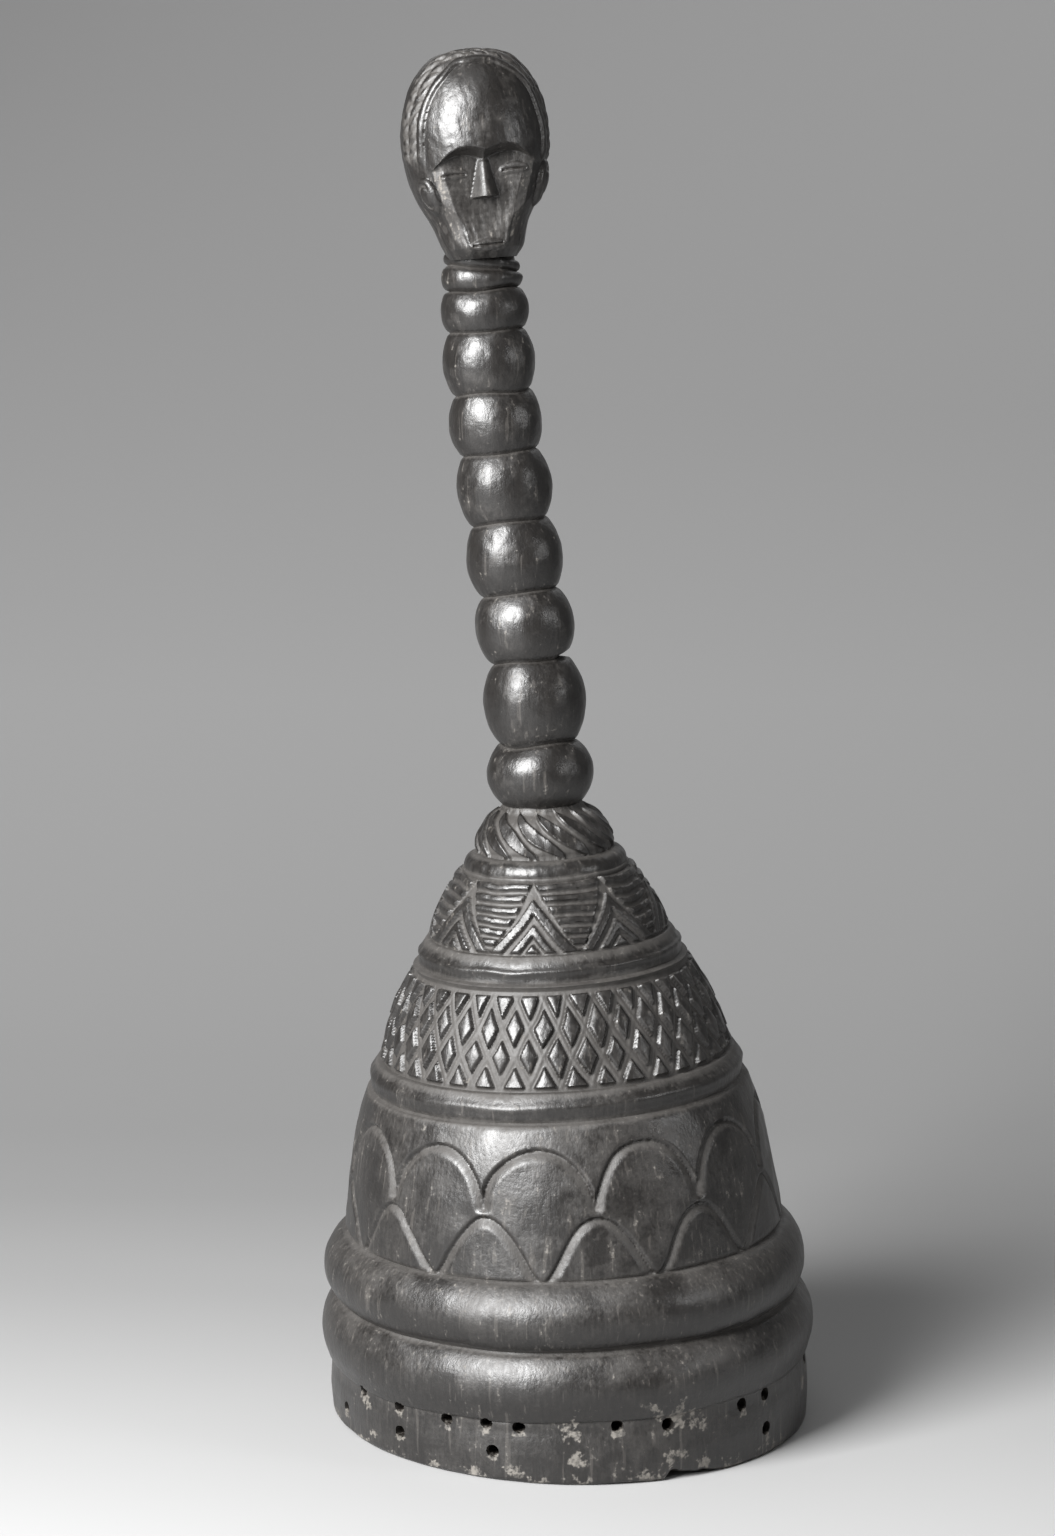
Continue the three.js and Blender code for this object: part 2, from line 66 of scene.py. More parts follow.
# The hollow for the wearer's head, in the same way, and the cone that closes its top
CAVITY = ((106, 0), (105, 40), (99, 98), (93, 140), (80, 178), (62, 208), (36, 232))
CAVITY_CONE = ((18, 240.5), (0, 244))
CAVITY_GAP = 8

# The stretches that the bell is meshed in, each from one height to the next: how many columns go round
# it, and the widest gap between its rows
SHELL_SEAM = 97.4
LOWER_SEAM = 171
UPPER_SEAM = 233.2
BELL_TOP = DOME[-1][1]
STRETCHES = {
    "rim_and_rolls": (0, SHELL_SEAM, 540, 1.15),
    "petal_shell": (SHELL_SEAM, LOWER_SEAM, 720, 0.85),
    "diamond_band": (LOWER_SEAM, UPPER_SEAM, 720, 0.8),
    "chevron_band_and_dome": (UPPER_SEAM, BELL_TOP, 480, 0.7),
}

# The neck: the seams' heights, the radius of the bead over each, the collar and the old break
BEAD_SEAMS = (310, 341.4, 382, 415, 450, 483.7, 513.4, 543.2, 563.7)
BEAD_RADII = (26.4, 25.3, 24.8, 23.9, 23.5, 23, 22.8, 21.8)
SEAM_RADIUS = 18.6
COLLAR_SEAMS = (563.7, 573.6, 579.6)
COLLAR_RADII = (20, 18.4)
COLLAR_SEAM_RADIUS = 17
COLLAR_TILT = 3.2
COLLAR_FIELD = (566, 575, 580, 588)
NECK_ROOT = (15, 300)
NECK_TIP = (14, 592)
NECK_COLUMNS = 144
NECK_RADIUS = 24
BREAK_HEIGHT = BEAD_SEAMS[2]
BREAK_ANGLE = 75
BREAK_DEPTH = 7.5
BREAK_REACH = (20, 48)

# Carving round the bell, in degrees from the front and millimetres
PETAL_PITCH = 30
PETAL_DEPTH = 2.3
PETAL_BEVEL = 5
PETAL_WALL = 1.2
PETAL_FIELD = (97, 98.5, 168, 170.5)
UPPER_PETALS = {"angle": 8.5, "foot": 130.5, "rise": 29, "half_angle": 15, "flare": 1}
LOWER_PETALS = {"angle": -6.5, "foot": 97, "rise": 30, "half_angle": 14.5, "flare": 2.7}
DIAMOND_PITCH = 10
DIAMOND_TURN = 1.3
DIAMOND_RISE = 26.8
DIAMOND_ROW = 214.8
DIAMOND_SHARE = 0.6
DIAMOND_DEPTH = 2.5
DIAMOND_DOME = 0.45
DIAMOND_TILT = 1.5

# The chevrons' frame is given by the heights of its inner and outer tips. A groove inside it is given by
# the height of its tip and by half its width.
CHEVRON_TILE = 45
CHEVRON_FRAME = (272, 280.5)
CHEVRON_GROOVES = ((262.8, 2.2), (253.6, 1.6))
CHEVRON_DEPTH = 2
CHEVRON_RADIUS = 50
BAR_RISE = 5
BAR_TOP = 279.7
BAR_SHARE = 0.75
FLUTE_PITCH = 24
FLUTE_LEAN = 2.17
FLUTE_LEVEL = 291
FLUTE_TURN = 5
FLUTE_DEPTH = 2
FLUTE_BOWL = 0.45
FLUTE_RADIUS = 33
LEAF_HALF_ANGLE = 8.6

# Along the seams and ridges of the bell, as height, width and amount: how dusty each seam is, how deeply
# it is creased or, less than 0, filled, and how far a ridge's crest stands out
SEAM_DUST = (
    (30.4, 2.5, 0.4), (64.3, 1.8, 0.8), (97.4, 1.8, 0.85), (171, 2.6, 0.85), (184.5, 2.4, 0.85),
    (233.2, 2, 0.85), (245, 2.6, 0.85), (280, 1.1, 0.85), (287.4, 1.3, 0.9),
)
SEAM_CREASES = ((31.6, 3, -1), (64.3, 1.2, 0.8), (97.4, 1, 0.7), (171, 1.8, 0.7))
CRESTS = ((178.6, 2.2, 0.9), (239, 1.5, 1))

# Lashing holes through the rim, as angle and height, and a chip in its lower edge
HOLE_RADIUS = 2.9
HOLE_WIDENING = 0.3
HOLE_UNEVENNESS = (0.93, 1.07)
HOLES = (
    (-74.2, 29.8), (-60, 29.5), (-46.2, 28.5), (-35.8, 29.5), (-28, 28.5), (-5, 28.5), (7.2, 26.5),
    (29, 27), (37.5, 27.8), (-84.8, 13), (-59.8, 16), (-34.5, 15.5), (37.2, 12.2),
    (66, 28), (105, 27.5), (145, 28), (-170, 27.5), (-118, 28),
)
CHIP = {"angle": 13, "half_width": 15, "height": 3.2}

# Patches where the rim's wood is worn pale and a dark stain on a petal, as angle, height and size, and
# the wear under each hole
WORN_SPOTS = (
    (-16.2, 27.2, 6), (-14.8, 12.5, 5), (-28.8, 5.5, 5), (-38.8, 4, 3), (8.8, 30.7, 4), (10.5, 28.7, 5),
    (13.8, 27.5, 5.5), (10.8, 36, 3.5), (16.7, 23.5, 4), (5.5, 32.5, 4), (3.5, 36, 3), (7.8, 10.5, 5.5),
    (11, 11, 3.5), (16.5, 4.5, 4.5), (2, 3.2, 4), (-50, 4, 3.5), (-70, 9, 3.5), (-85.5, 9, 3),
    (-72, 24, 3.5), (60, 20, 5), (110, 14, 6), (160, 9, 5), (-120, 12, 5), (-165, 22, 5),
)
STAIN = (-6.5, 112, 7)
LIP_WEAR = {"below": 3.4, "size": 3.2}
INNER_DUST = 0.25

# The head. Its outline and its face are laid out in shares of its half width and its height.
CHIN = 578.6
HEAD_HEIGHT = 101.6
HEAD_HALF_WIDTH = 35.6
HEAD_DEPTH_RATIO = 1.08
HEAD_OUTLINE = (
    (0.46, 0), (0.56, 0.06), (0.67, 0.17), (0.83, 0.28), (0.95, 0.4), (1, 0.53), (0.99, 0.65),
    (0.92, 0.77), (0.79, 0.87), (0.55, 0.96), (0.3, 0.99),
)
HEAD_CROWN = ((0.15, 0.998), (0, 1))
HEAD_COLUMNS = 320
HEAD_GAP = 0.62
HEAD_FOOT_GAP = 4
HEAD_RADIUS = 35
JAW_RADIUS = 30
FACE_BROW = 0.47
FACE_CHIN = -0.02
BROW_HALF_WIDTH = 0.74
FACE_HALF_WIDTH = 0.6
FACE_CHIN_HALF_WIDTH = 0.21
FACE_BROW_DEPTH = 0.78
FACE_CHIN_DEPTH = 0.8
CHIN_EDGE = 0.05
UNDER_CHIN = 0.6
LEVEL_WITH_AXIS = 0.6

# More of the head, in millimetres, degrees and slopes
CHIN_FORWARD = 11
HEAD_TURN = -5.5
FACE_TILT = 0.06
FACE_HOLLOW = 0.9
BROW_ARCH = 3.4
BROW_DROOP = 4
BROW_SLOPE = 2.6
CHEEK_WIDTH = 4.6
CHEEK_SLOPE = 0.5
JAW_SLOPE = 0.9

# The face's features. Their heights, "top" and "tip" are shares of the head's height, "apart" is a share
# of its half width, "reach" is a share of their half length, and the rest is in millimetres. The nose's
# half width and how proud it is are given at its top and at its tip.
NOSE = {"top": 0.465, "tip": 0.29, "half_width": (2.8, 7), "proud": (2.4, 8.4)}
EYES = {"height": 0.415, "apart": 0.42, "half_length": 7.2, "half_height": 3, "droop": 0.9}
EYE_SLIT = {"below": 0.3, "half_width": 0.55, "reach": 0.86, "depth": 1.1}
MOUTH = {"height": 0.065, "half_length": 9, "half_height": 3.3, "proud": 2.2}
MOUTH_PARTING = {"half_width": 0.5, "reach": 0.85, "depth": 1.3}
FACE_DUST = 0.42
# How pale the strip along the cheeks' bevels is painted, as its highlight
CHEEK_HIGHLIGHT_PALENESS = 0.42

# The hair's rows begin at these distances behind its front, which leans. Along the plaits, the strands
# cross at a pitch, shifted from row to row and slanting across each.
HAIR_FRONT = -20.2
HAIR_LEAN = 0.105
HAIR_ROWS = (0, 4.8, 11.8, 18.6)
HAIR_PROUD = 1.6
HAIR_RADIUS = 33
STRAND_PITCH = 5.4
STRAND_SHIFT = 2.1
STRAND_SLANT = 3.5

# The ears: side, angle, share of the head's height, half height. EAR_DEGREE is a degree's length there.
EARS = ((-1, 58, 0.305, 9.2), (1, 68, 0.345, 11.4))
EAR_DEGREE = 0.56
EAR_HALF_DEPTH = 6.6
EAR_PROUD = 3.4
EAR_CUT = 1.2

# The real stance, as the solid has it
OVAL_AT_RIM = 1.12
ROUND_ABOVE = 300
CENTRE_HEIGHTS = (0, 60, 120, 200, 250, 300, 361, 433, 500, 554, 620, 690)
CENTRE_OFFSETS = (
    (0, 0), (-1.6, 0.4), (-3.8, 1), (-7.7, 2.1), (-10.3, 2.8), (-12.6, 3.6), (-16.4, 6.5),
    (-24.3, 15.8), (-32, 24.1), (-35.8, 29.8), (-38.7, 36.3), (-40.2, 42.8),
)
CENTRING = (1.19, -0.295)

# Colours of the wood, what lies on it, and the dark and the pale of its worn spots
BLACK_WOOD = (0.006, 0.0051, 0.0045)
BROWN_WOOD = (0.012, 0.0104, 0.0092)
OLD_FILM = (0.036, 0.0328, 0.03)
SCRATCHES = (0.08, 0.073, 0.066)
DUST = (0.045, 0.041, 0.0373)
INNER_WOOD = (0.03, 0.025, 0.021)
# The pale of the worn spots also paints the highlight along the cheeks' bevels
WORN_WOOD_AND_HIGHLIGHT = ((0.085, 0.078, 0.069), (0.19, 0.175, 0.155))

# The camera, in metres, degrees and millimetres of lens
CAMERA_PLACE = (-0.65621, -2.45380, 0.8)
CAMERA_TURN = 14.525
CAMERA_PITCH = 10.528
CAMERA_LENS = 122.03

# The lights: place, what they face, size and power
LIGHTS = {
    "key_light": ((-1.55, -0.95, 1.35), (0, 0, 0.35), (1.1, 1.3), 153),
    "small_light": ((1.45, -1.15, 0.95), (0, 0, 0.35), (0.35, 0.4), 5.6),
    "floor_light": ((-0.4, -0.6, 2.6), (0, 0, 0), (1.8, 1.8), 8),
    "wall_light": ((0.75, 1.7, 1.5), (0.35, 0.1, 0), (2.6, 1.1), 6.5),
}
AMBIENT = 0.13

# The paper's floor and curve, and the light and shade painted on it as greys, from the floor's near edge
# to the top of the wall, at the left and the right
SWEEP = {"half_width": 4, "near": -3.2, "flat_end": 0.55, "curve_radius": 1.1, "steps": 9, "step": 7.5}
PAINTED_PAPER_SHADE = (
    ((0.02, 0.37), (0.1, 0.315), (0.18, 0.25), (0.26, 0.205), (0.62, 0.2), (0.78, 0.162), (0.98, 0.103)),
    ((0.02, 0.36), (0.1, 0.32), (0.18, 0.27), (0.26, 0.24), (0.62, 0.24), (0.78, 0.21), (0.98, 0.215)),
)

# Handwork: how many waves make up its unevenness, and the radius that they run round on the bell
WAVE_COUNT = 14
BELL_RADIUS = 90


# Numbers along curves and round the mask


def swelling(start, end, swell, steps=24):
    """Points of an arc that swells outwards between two points, without the last one."""
    start, end = np.array(start, float), np.array(end, float)
    chord = end - start
    half = np.linalg.norm(chord) / 2
    outward = np.array([chord[1], -chord[0]]) / (2 * half)
    radius = (half * half + swell * swell) / (2 * swell)
    angles = math.asin(half / radius) * np.linspace(-1, 1, steps + 1)[:-1]
    along = (1 + radius * np.sin(angles) / half) / 2
    out = radius * np.cos(angles) - (radius - swell)
    return (start + along[:, None] * chord + out[:, None] * outward).tolist()


def spaced(points, gap):
    """The same polyline with its corners kept and further points no more than a gap apart."""
    dense = [list(points[0])]
    for start, end in zip(points, points[1:]):
        start, end = np.array(start, float), np.array(end, float)
        steps = max(1, math.ceil(np.linalg.norm(end - start) / gap))
        dense += [list(start + (end - start) * step / steps) for step in range(1, steps + 1)]
    return dense


def rounded(points, steps=6):
    """A smooth curve through the points."""
    points = np.array(points, float)
    ends = np.vstack([2 * points[0] - points[1], points, 2 * points[-1] - points[-2]])
    curve = []
    for before, start, end, after in zip(ends, ends[1:], ends[2:], ends[3:]):
        for t in np.linspace(0, 1, steps, endpoint=False):
            curve.append(0.5 * (2 * start + (end - before) * t
                                + (2 * before - 5 * start + 4 * end - after) * t ** 2
                                + (3 * start - before - 3 * end + after) * t ** 3))
    return [list(point) for point in curve] + [list(points[-1])]


def ramp(value, low, high):
    """0 below low, 1 above high and smooth between."""
    t = np.clip((value - low) / (high - low), 0, 1)
    return t * t * (3 - 2 * t)


def plateau(value, low, full, waning, high):
    """1 from full to waning, 0 below low and above high, and smooth between."""
    return ramp(value, low, full) * (1 - ramp(value, waning, high))


def bump_at(value, centre, width):
    """1 at the centre, falling away smoothly over a width on each side."""
    return np.exp(-((value - centre) / width) ** 2)


def turned_by(angle, pitch):
    """How far an angle is from the nearest multiple of a pitch."""
    return (angle + pitch / 2) % pitch - pitch / 2


def waves(angle, height, size, seed, radius=BELL_RADIUS):
    """Unevenness of about -1 to 1 round a radius, with features of a size in millimetres."""
    random = np.random.default_rng(seed)
    total = np.zeros_like(angle)
    for _ in range(WAVE_COUNT):
        direction = random.uniform(0, math.tau)
        pitch = size * random.uniform(0.7, 1.5)
        turns = round(math.tau * radius / pitch * math.cos(direction))
        climb = math.tau / pitch * math.sin(direction)
        total += np.cos(turns * np.radians(angle) + climb * height + random.uniform(0, math.tau))
    return total * math.sqrt(2 / WAVE_COUNT) * 0.6


def mingled(angle, height, radius, *parts):
    """The sum of several waves round a radius, each given as an amount, a size and a seed."""
    return sum(amount * waves(angle, height, size, seed, radius) for amount, size, seed in parts)


def distance_to(path, across, up):
    """Distance of points to a polyline, less than 0 for those under it."""
    nearest = np.full(across.shape, np.inf)
    for (x0, y0), (x1, y1) in zip(path, path[1:]):
        dx, dy = x1 - x0, y1 - y0
        share = np.clip(((across - x0) * dx + (up - y0) * dy) / (dx * dx + dy * dy), 0, 1)
        nearest = np.minimum(nearest, np.hypot(across - x0 - share * dx, up - y0 - share * dy))
    path = np.array(path)
    top = np.interp(across, path[:, 0], path[:, 1])
    return np.where(up < top, -nearest, nearest)


# The bell's outlines

OUTSIDE = (
    list(RIM)
    + swelling(LOWER_ROLL[0], UPPER_ROLL[0], LOWER_ROLL[1])
    + swelling(UPPER_ROLL[0], SHELL[0], UPPER_ROLL[1])
    + rounded(SHELL)
    + swelling(WIDE_RIDGE[0], LATTICE_FIELD[0], WIDE_RIDGE[1])
    + rounded(LATTICE_FIELD)
    + swelling(NARROW_RIDGE[0], CHEVRON_FIELD[0], NARROW_RIDGE[1])
    + rounded(CHEVRON_FIELD)
    + swelling(RING[0], DOME[0], RING[1])
    + rounded(DOME)
)
INSIDE = rounded(CAVITY) + [list(point) for point in CAVITY_CONE]
CAVITY_TOP = CAVITY_CONE[-1][1]


def radius_on(outline, height):
    points = np.array(outline, float)
    return np.interp(height, points[:, 1], points[:, 0])


HEIGHTS = np.arange(0, BELL_TOP + 1)
OUTSIDE_SLOPE = np.gradient(radius_on(OUTSIDE, HEIGHTS))


def stretch(outline, low, high):
    """The part of an outline between two heights."""
    inner = [list(point) for point in outline if low < point[1] < high]
    return [[float(radius_on(outline, low)), low], *inner, [float(radius_on(outline, high)), high]]


# Carving of the bell. Each function takes angles in degrees and heights, and gives how deep the wood is
# cut away and how much dust lies there, from 0 to 1.


def petal_row(angle, height, row):
    """The bevelled edges of one row of petals, and how far outside them each point lies."""
    local = turned_by(angle - row["angle"], PETAL_PITCH)
    row_radius = radius_on(OUTSIDE, row["foot"] + row["rise"] / 2)
    half_width = math.radians(row["half_angle"]) * row_radius
    turns = np.linspace(0, math.pi, 60)
    across = -half_width * np.cos(turns)
    up = row["foot"] + row["rise"] * np.sin(turns) ** row["flare"]
    distance = distance_to(list(zip(across, up)), np.radians(local) * row_radius, height)
    above_foot = ramp(height, row["foot"] - 2, row["foot"] + 1)
    bevel = np.clip(1 + distance / PETAL_BEVEL, 0, 1) ** 1.3
    wall = np.clip(1 - distance / PETAL_WALL, 0, 1)
    cut = np.where(distance < 0, bevel, wall) * above_foot
    dust = plateau(distance, -PETAL_BEVEL - 1, -1.8, -0.5, 0.4) * above_foot
    return PETAL_DEPTH * cut, dust, distance


def petals(angle, height):
    """Two rows of petals on the shell, the upper one behind the lower, each petal a little hollow."""
    wander_angle = angle + 0.5 * waves(angle, height, size=45, seed=11)
    wander_height = height + 0.7 * waves(angle, height, size=50, seed=12)
    upper_cut, upper_dust, upper = petal_row(wander_angle, wander_height, UPPER_PETALS)
    lower_cut, lower_dust, lower = petal_row(wander_angle, wander_height, LOWER_PETALS)
    on_shell = plateau(height, *PETAL_FIELD)
    outside_lower = ramp(lower, -0.5, 1)
    cut = np.maximum(upper_cut * outside_lower, lower_cut)
    hollow = 0.5 * ramp(-upper, 0, 10) * outside_lower + 0.3 * ramp(-lower, 0, 8)
    dust = 0.8 * np.maximum(upper_dust * outside_lower, lower_dust)
    return on_shell * (cut + hollow), on_shell * dust


def unlike(column, row):
    """A number from 0 to 1 that differs from diamond to diamond."""
    return np.sin(column * 12.9898 + row * 78.233) * 43758.5453 % 1


def diamonds(angle, height):
    """Raised diamonds, each tilted in its own way, and wide grooves crossing between them."""
    half_pitch, row_rise = DIAMOND_PITCH / 2, DIAMOND_RISE / 2
    wander_angle = angle - DIAMOND_TURN + 0.35 * waves(angle, height, size=30, seed=21)
    wander_height = height + 0.6 * waves(angle, height, size=30, seed=22)
    nearest = np.full(angle.shape, np.inf)
    chosen = np.zeros(angle.shape)
    leaning = np.zeros(angle.shape)
    for row in range(-2, 2):
        shifted = wander_angle - (row % 2) * half_pitch
        across = turned_by(shifted, DIAMOND_PITCH) / half_pitch
        up = (wander_height - DIAMOND_ROW - row * row_rise) / row_rise
        column = np.round(shifted / DIAMOND_PITCH) % (360 / DIAMOND_PITCH)
        uneven = unlike(column, row)
        share = np.abs(across) + np.abs(up) + 0.1 * (uneven - 0.5)
        leaning = np.where(share < nearest, (uneven - 0.5) * across + (0.8 - uneven) * up, leaning)
        chosen = np.where(share < nearest, uneven, chosen)
        nearest = np.minimum(nearest, share)
    cut = ramp(nearest, DIAMOND_SHARE - 0.01, DIAMOND_SHARE + 0.1)
    dome = DIAMOND_DOME * np.clip(nearest / DIAMOND_SHARE, 0, 1) ** 2
    tilt = 0.5 * (chosen - 0.5) + DIAMOND_TILT * leaning
    crossing = 0.35 * ramp(nearest, 0.8, 1)
    depth = DIAMOND_DEPTH * cut + (dome + tilt) * (1 - cut) - crossing
    low, high = LATTICE_FIELD[0][1], LATTICE_FIELD[-1][1]
    field = plateau(height, low - 0.2, low + 0.6, high - 0.8, high + 0.2)
    edges = np.maximum(1 - ramp(height, low + 1.8, low + 2.7), ramp(height, high - 3.9, high - 3))
    depth = np.maximum(depth, DIAMOND_DEPTH * edges)
    dust = np.maximum(ramp(nearest, DIAMOND_SHARE + 0.05, DIAMOND_SHARE + 0.18), edges)
    return field * depth, field * dust


def chevrons(angle, height):
    """Nested chevrons in eight tall triangles, and level bars in the hanging ones between them."""
    low, high = CHEVRON_FIELD[0][1], CHEVRON_FIELD[-1][1]
    wander_angle = angle + 0.7 * waves(angle, height, size=26, seed=31, radius=CHEVRON_RADIUS)
    wander_height = height + 0.45 * waves(angle, height, size=26, seed=32, radius=CHEVRON_RADIUS)
    half_tile = CHEVRON_TILE / 2
    across = np.abs(turned_by(wander_angle - half_tile, CHEVRON_TILE)) / half_tile
    inner_tip, outer_tip = CHEVRON_FRAME
    in_triangle = wander_height + across * (inner_tip - low)
    in_hanging = wander_height + across * (outer_tip - low)
    hanging = ramp(in_hanging, outer_tip - 0.6, outer_tip + 0.6)
    cut = ramp(in_triangle, inner_tip - 0.5, inner_tip + 0.5) * (1 - hanging)
    for tip, half in CHEVRON_GROOVES:
        cut = np.maximum(cut, 1 - ramp(np.abs(in_triangle - tip), half - 0.4, half + 0.6))
    from_bar = np.abs(turned_by(wander_height - BAR_TOP, BAR_RISE)) / (BAR_RISE / 2)
    cut = np.maximum(cut, hanging * BAR_SHARE * (1 - ramp(from_bar, 0.3, 0.62)))
    sag = 0.5 * (1 - from_bar) ** 2
    field = plateau(height, low - 0.2, low + 0.7, high - 0.4, high + 0.3)
    edges = np.maximum(1 - ramp(height, low + 0.8, low + 2), ramp(height, high - 1, high - 0.3))
    cut = np.maximum(cut, 0.85 * edges)
    return field * (CHEVRON_DEPTH * cut + hanging * sag), field * cut


def flutes(angle, height):
    """Leaning, leaf-shaped flutes on the dome, with flat grooves between them."""
    low, high = DOME[0][1], BELL_TOP - 3
    wander_angle = angle + 1.2 * waves(angle, height, size=22, seed=41, radius=FLUTE_RADIUS)
    turned = wander_angle + FLUTE_LEAN * (height - FLUTE_LEVEL) + FLUTE_TURN
    from_middle = np.abs(turned_by(turned, FLUTE_PITCH))
    rise = np.clip((height - low - 0.3) / (high - low), 0, 1)
    half = LEAF_HALF_ANGLE * np.sin(math.pi * rise) ** 0.55
    leaf = 1 - ramp(from_middle, half - 1, half + 1.4)
    bowl = FLUTE_BOWL * leaf * (1 - np.clip(from_middle / 8, 0, 1) ** 2)
    field = plateau(height, low, low + 1, high, high + 2.5)
    dust = np.maximum(field * (1 - leaf), ramp(height, high, high + 2) * 0.8)
    return field * (FLUTE_DEPTH * (1 - leaf) + bowl), dust


def bell_carving(angle, height):
    """All the carving on the outside of the bell, with the unevenness of handwork."""
    petal_cut, petal_dust = petals(angle, height)
    diamond_cut, diamond_dust = diamonds(angle, height)
    chevron_cut, chevron_dust = chevrons(angle, height)
    flute_cut, flute_dust = flutes(angle, height)
    wavering = height + 0.5 * waves(angle, height * 0, size=40, seed=51)
    crease = sum(depth * bump_at(wavering, at, width) for at, width, depth in SEAM_CREASES)
    crease -= sum(proud * bump_at(wavering, at, width) for at, width, proud in CRESTS)
    dust = np.maximum.reduce([petal_dust, diamond_dust, chevron_dust, flute_dust])
    for at, width, amount in SEAM_DUST:
        dust = np.maximum(dust, amount * bump_at(wavering, at, width))
    coarse = 0.55 - 0.3 * np.clip(height / ROUND_ABOVE, 0, 1)
    handwork = coarse * waves(angle, height, size=60, seed=52)
    handwork += 0.12 * waves(angle, height, size=14, seed=53)
    # The skins of neighbouring stretches meet, so handwork dies out at their seams and at the rim's foot
    seams = (SHELL_SEAM, LOWER_SEAM, UPPER_SEAM)
    to_seam = np.minimum.reduce([np.abs(height - seam) for seam in seams])
    handwork *= ramp(height, 0, 3) * ramp(to_seam, 0, 1.5)
    return petal_cut + diamond_cut + chevron_cut + flute_cut + crease + handwork, dust


# Skins


def mesh_of(bm, name):
    mesh = bpy.data.meshes.new(name)
    bm.to_mesh(mesh)
    bm.free()
    return mesh


def points_of(mesh):
    points = np.empty(len(mesh.vertices) * 3)
    mesh.vertices.foreach_get("co", points)
    return points.reshape(-1, 3)


def put_points(mesh, points):
    mesh.vertices.foreach_set("co", points.astype(np.float32).ravel())
    mesh.update()


def grid(name, columns, rows):
    """A flat grid, with the column and the row that each of its points is on."""
    bm = bmesh.new()
    bmesh.ops.create_grid(bm, x_segments=columns, y_segments=rows, size=1)
    mesh = mesh_of(bm, name)
    points = points_of(mesh)
    column = np.rint((points[:, 0] + 1) / 2 * columns).astype(int)
    row = np.rint((points[:, 1] + 1) / 2 * rows).astype(int)
    return mesh, column, row


def wrapped(name, outline, columns, closed):
    """A closed skin round the Z axis: a grid wrapped round an outline of [radius, height]."""
    outline = np.array(outline + outline[:1] if closed else outline, float)
    rows = len(outline) - 1
    flat, column, row = grid(name, columns, rows)
    angle = math.tau * (column % columns) / columns
    radius, height = outline[row, 0], outline[row, 1]
    put_points(flat, np.column_stack([radius * np.sin(angle), -radius * np.cos(angle), height]))
    seam = (column == 0) | (column == columns) | (row == 0) | (row == rows)
    bm = bmesh.new()
    bm.from_mesh(flat)
    bm.verts.ensure_lookup_table()
    at_seam = [bm.verts[index] for index in np.flatnonzero(seam)]
    bmesh.ops.remove_doubles(bm, verts=at_seam, dist=1e-4)
    bmesh.ops.recalc_face_normals(bm, faces=bm.faces)
    bpy.data.meshes.remove(flat)
    return mesh_of(bm, name)


def mark(mesh, **values):
    """Stores a number on every point under each name, for the finish to read."""
    for name, value in values.items():
        attribute = mesh.attributes.new(name, "FLOAT", "POINT")
        attribute.data.foreach_set("value", np.clip(value, 0, 1).astype(np.float32))


def polar(points):
    """Angle from the front in degrees, radius and height."""
    angle = np.degrees(np.arctan2(points[:, 0], -points[:, 1]))
    return angle, np.hypot(points[:, 0], points[:, 1]), points[:, 2].copy()


def upright(angle, radius, height):
    """Points of the straight mask, from their angle, radius and height."""
    turned = np.radians(angle)
    return np.column_stack([radius * np.sin(turned), -radius * np.cos(turned), height])


# The stance


def centre_line(height):
    """The leaning centre line at heights, and how it slopes there."""
    heights = np.array(CENTRE_HEIGHTS, float)
    offsets = np.array(CENTRE_OFFSETS, float)
    slopes = np.diff(offsets, axis=0) / np.diff(heights)[:, None]
    tangents = np.vstack([np.zeros(2), (slopes[1:] + slopes[:-1]) / 2, slopes[-1]])
    at = np.clip(np.searchsorted(heights, height, side="right") - 1, 0, len(heights) - 2)
    span = (heights[at + 1] - heights[at])[:, None]
    t = ((height - heights[at])[:, None]) / span
    start, end = offsets[at], offsets[at + 1]
    pull_start, pull_end = tangents[at] * span, tangents[at + 1] * span
    place = ((2 * t ** 3 - 3 * t ** 2 + 1) * start + (t ** 3 - 2 * t ** 2 + t) * pull_start
             + (3 * t ** 2 - 2 * t ** 3) * end + (t ** 3 - t ** 2) * pull_end)
    slope = ((6 * t ** 2 - 6 * t) * start + (3 * t ** 2 - 4 * t + 1) * pull_start
             + (6 * t - 6 * t ** 2) * end + (3 * t ** 2 - 2 * t) * pull_end) / span
    return place, slope


def stood(points):
    """Points of the straight mask, carried to the leaning, oval one, in metres."""
    height = points[:, 2]
    place, slope = centre_line(height)
    along = np.column_stack([slope, np.ones_like(height)])
    along[height < 0.5] = (0, 0, 1)
    along /= np.linalg.norm(along, axis=1)[:, None]
    across = np.array([1.0, 0, 0]) - along[:, :1] * along
    across /= np.linalg.norm(across, axis=1)[:, None]
    back = np.cross(along, across)
    oval = 1 + (OVAL_AT_RIM - 1) * (1 - np.clip(height / ROUND_ABOVE, 0, 1))
    centre = np.column_stack([place + np.array(CENTRING), height])
    return (centre + points[:, :1] * across + (points[:, 1] * oval)[:, None] * back) * MM


# The bell


def bell_skin(name):
    """The straight skin of one stretch of the bell, before it is carved."""
    low, high, columns, gap = STRETCHES[name]
    outer = spaced(stretch(OUTSIDE, low, high), gap)
    inner_top = min(high, CAVITY_TOP)
    inner = spaced(stretch(INSIDE, low, inner_top), CAVITY_GAP)
    if low == 0:
        # The rim's rows are level inside and outside, so that its holes join up
        rows = [height for _, height in outer if height < RIM_TOP + 6]
        level = [[float(radius_on(INSIDE, height)), height] for height in rows]
        inner = level + spaced(stretch(INSIDE, level[-1][1], inner_top), CAVITY_GAP)[1:]
    if high > CAVITY_TOP:
        return wrapped(name, inner[::-1] + outer + [[0, high]], columns, closed=False)
    return wrapped(name, outer + inner[::-1], columns, closed=True)


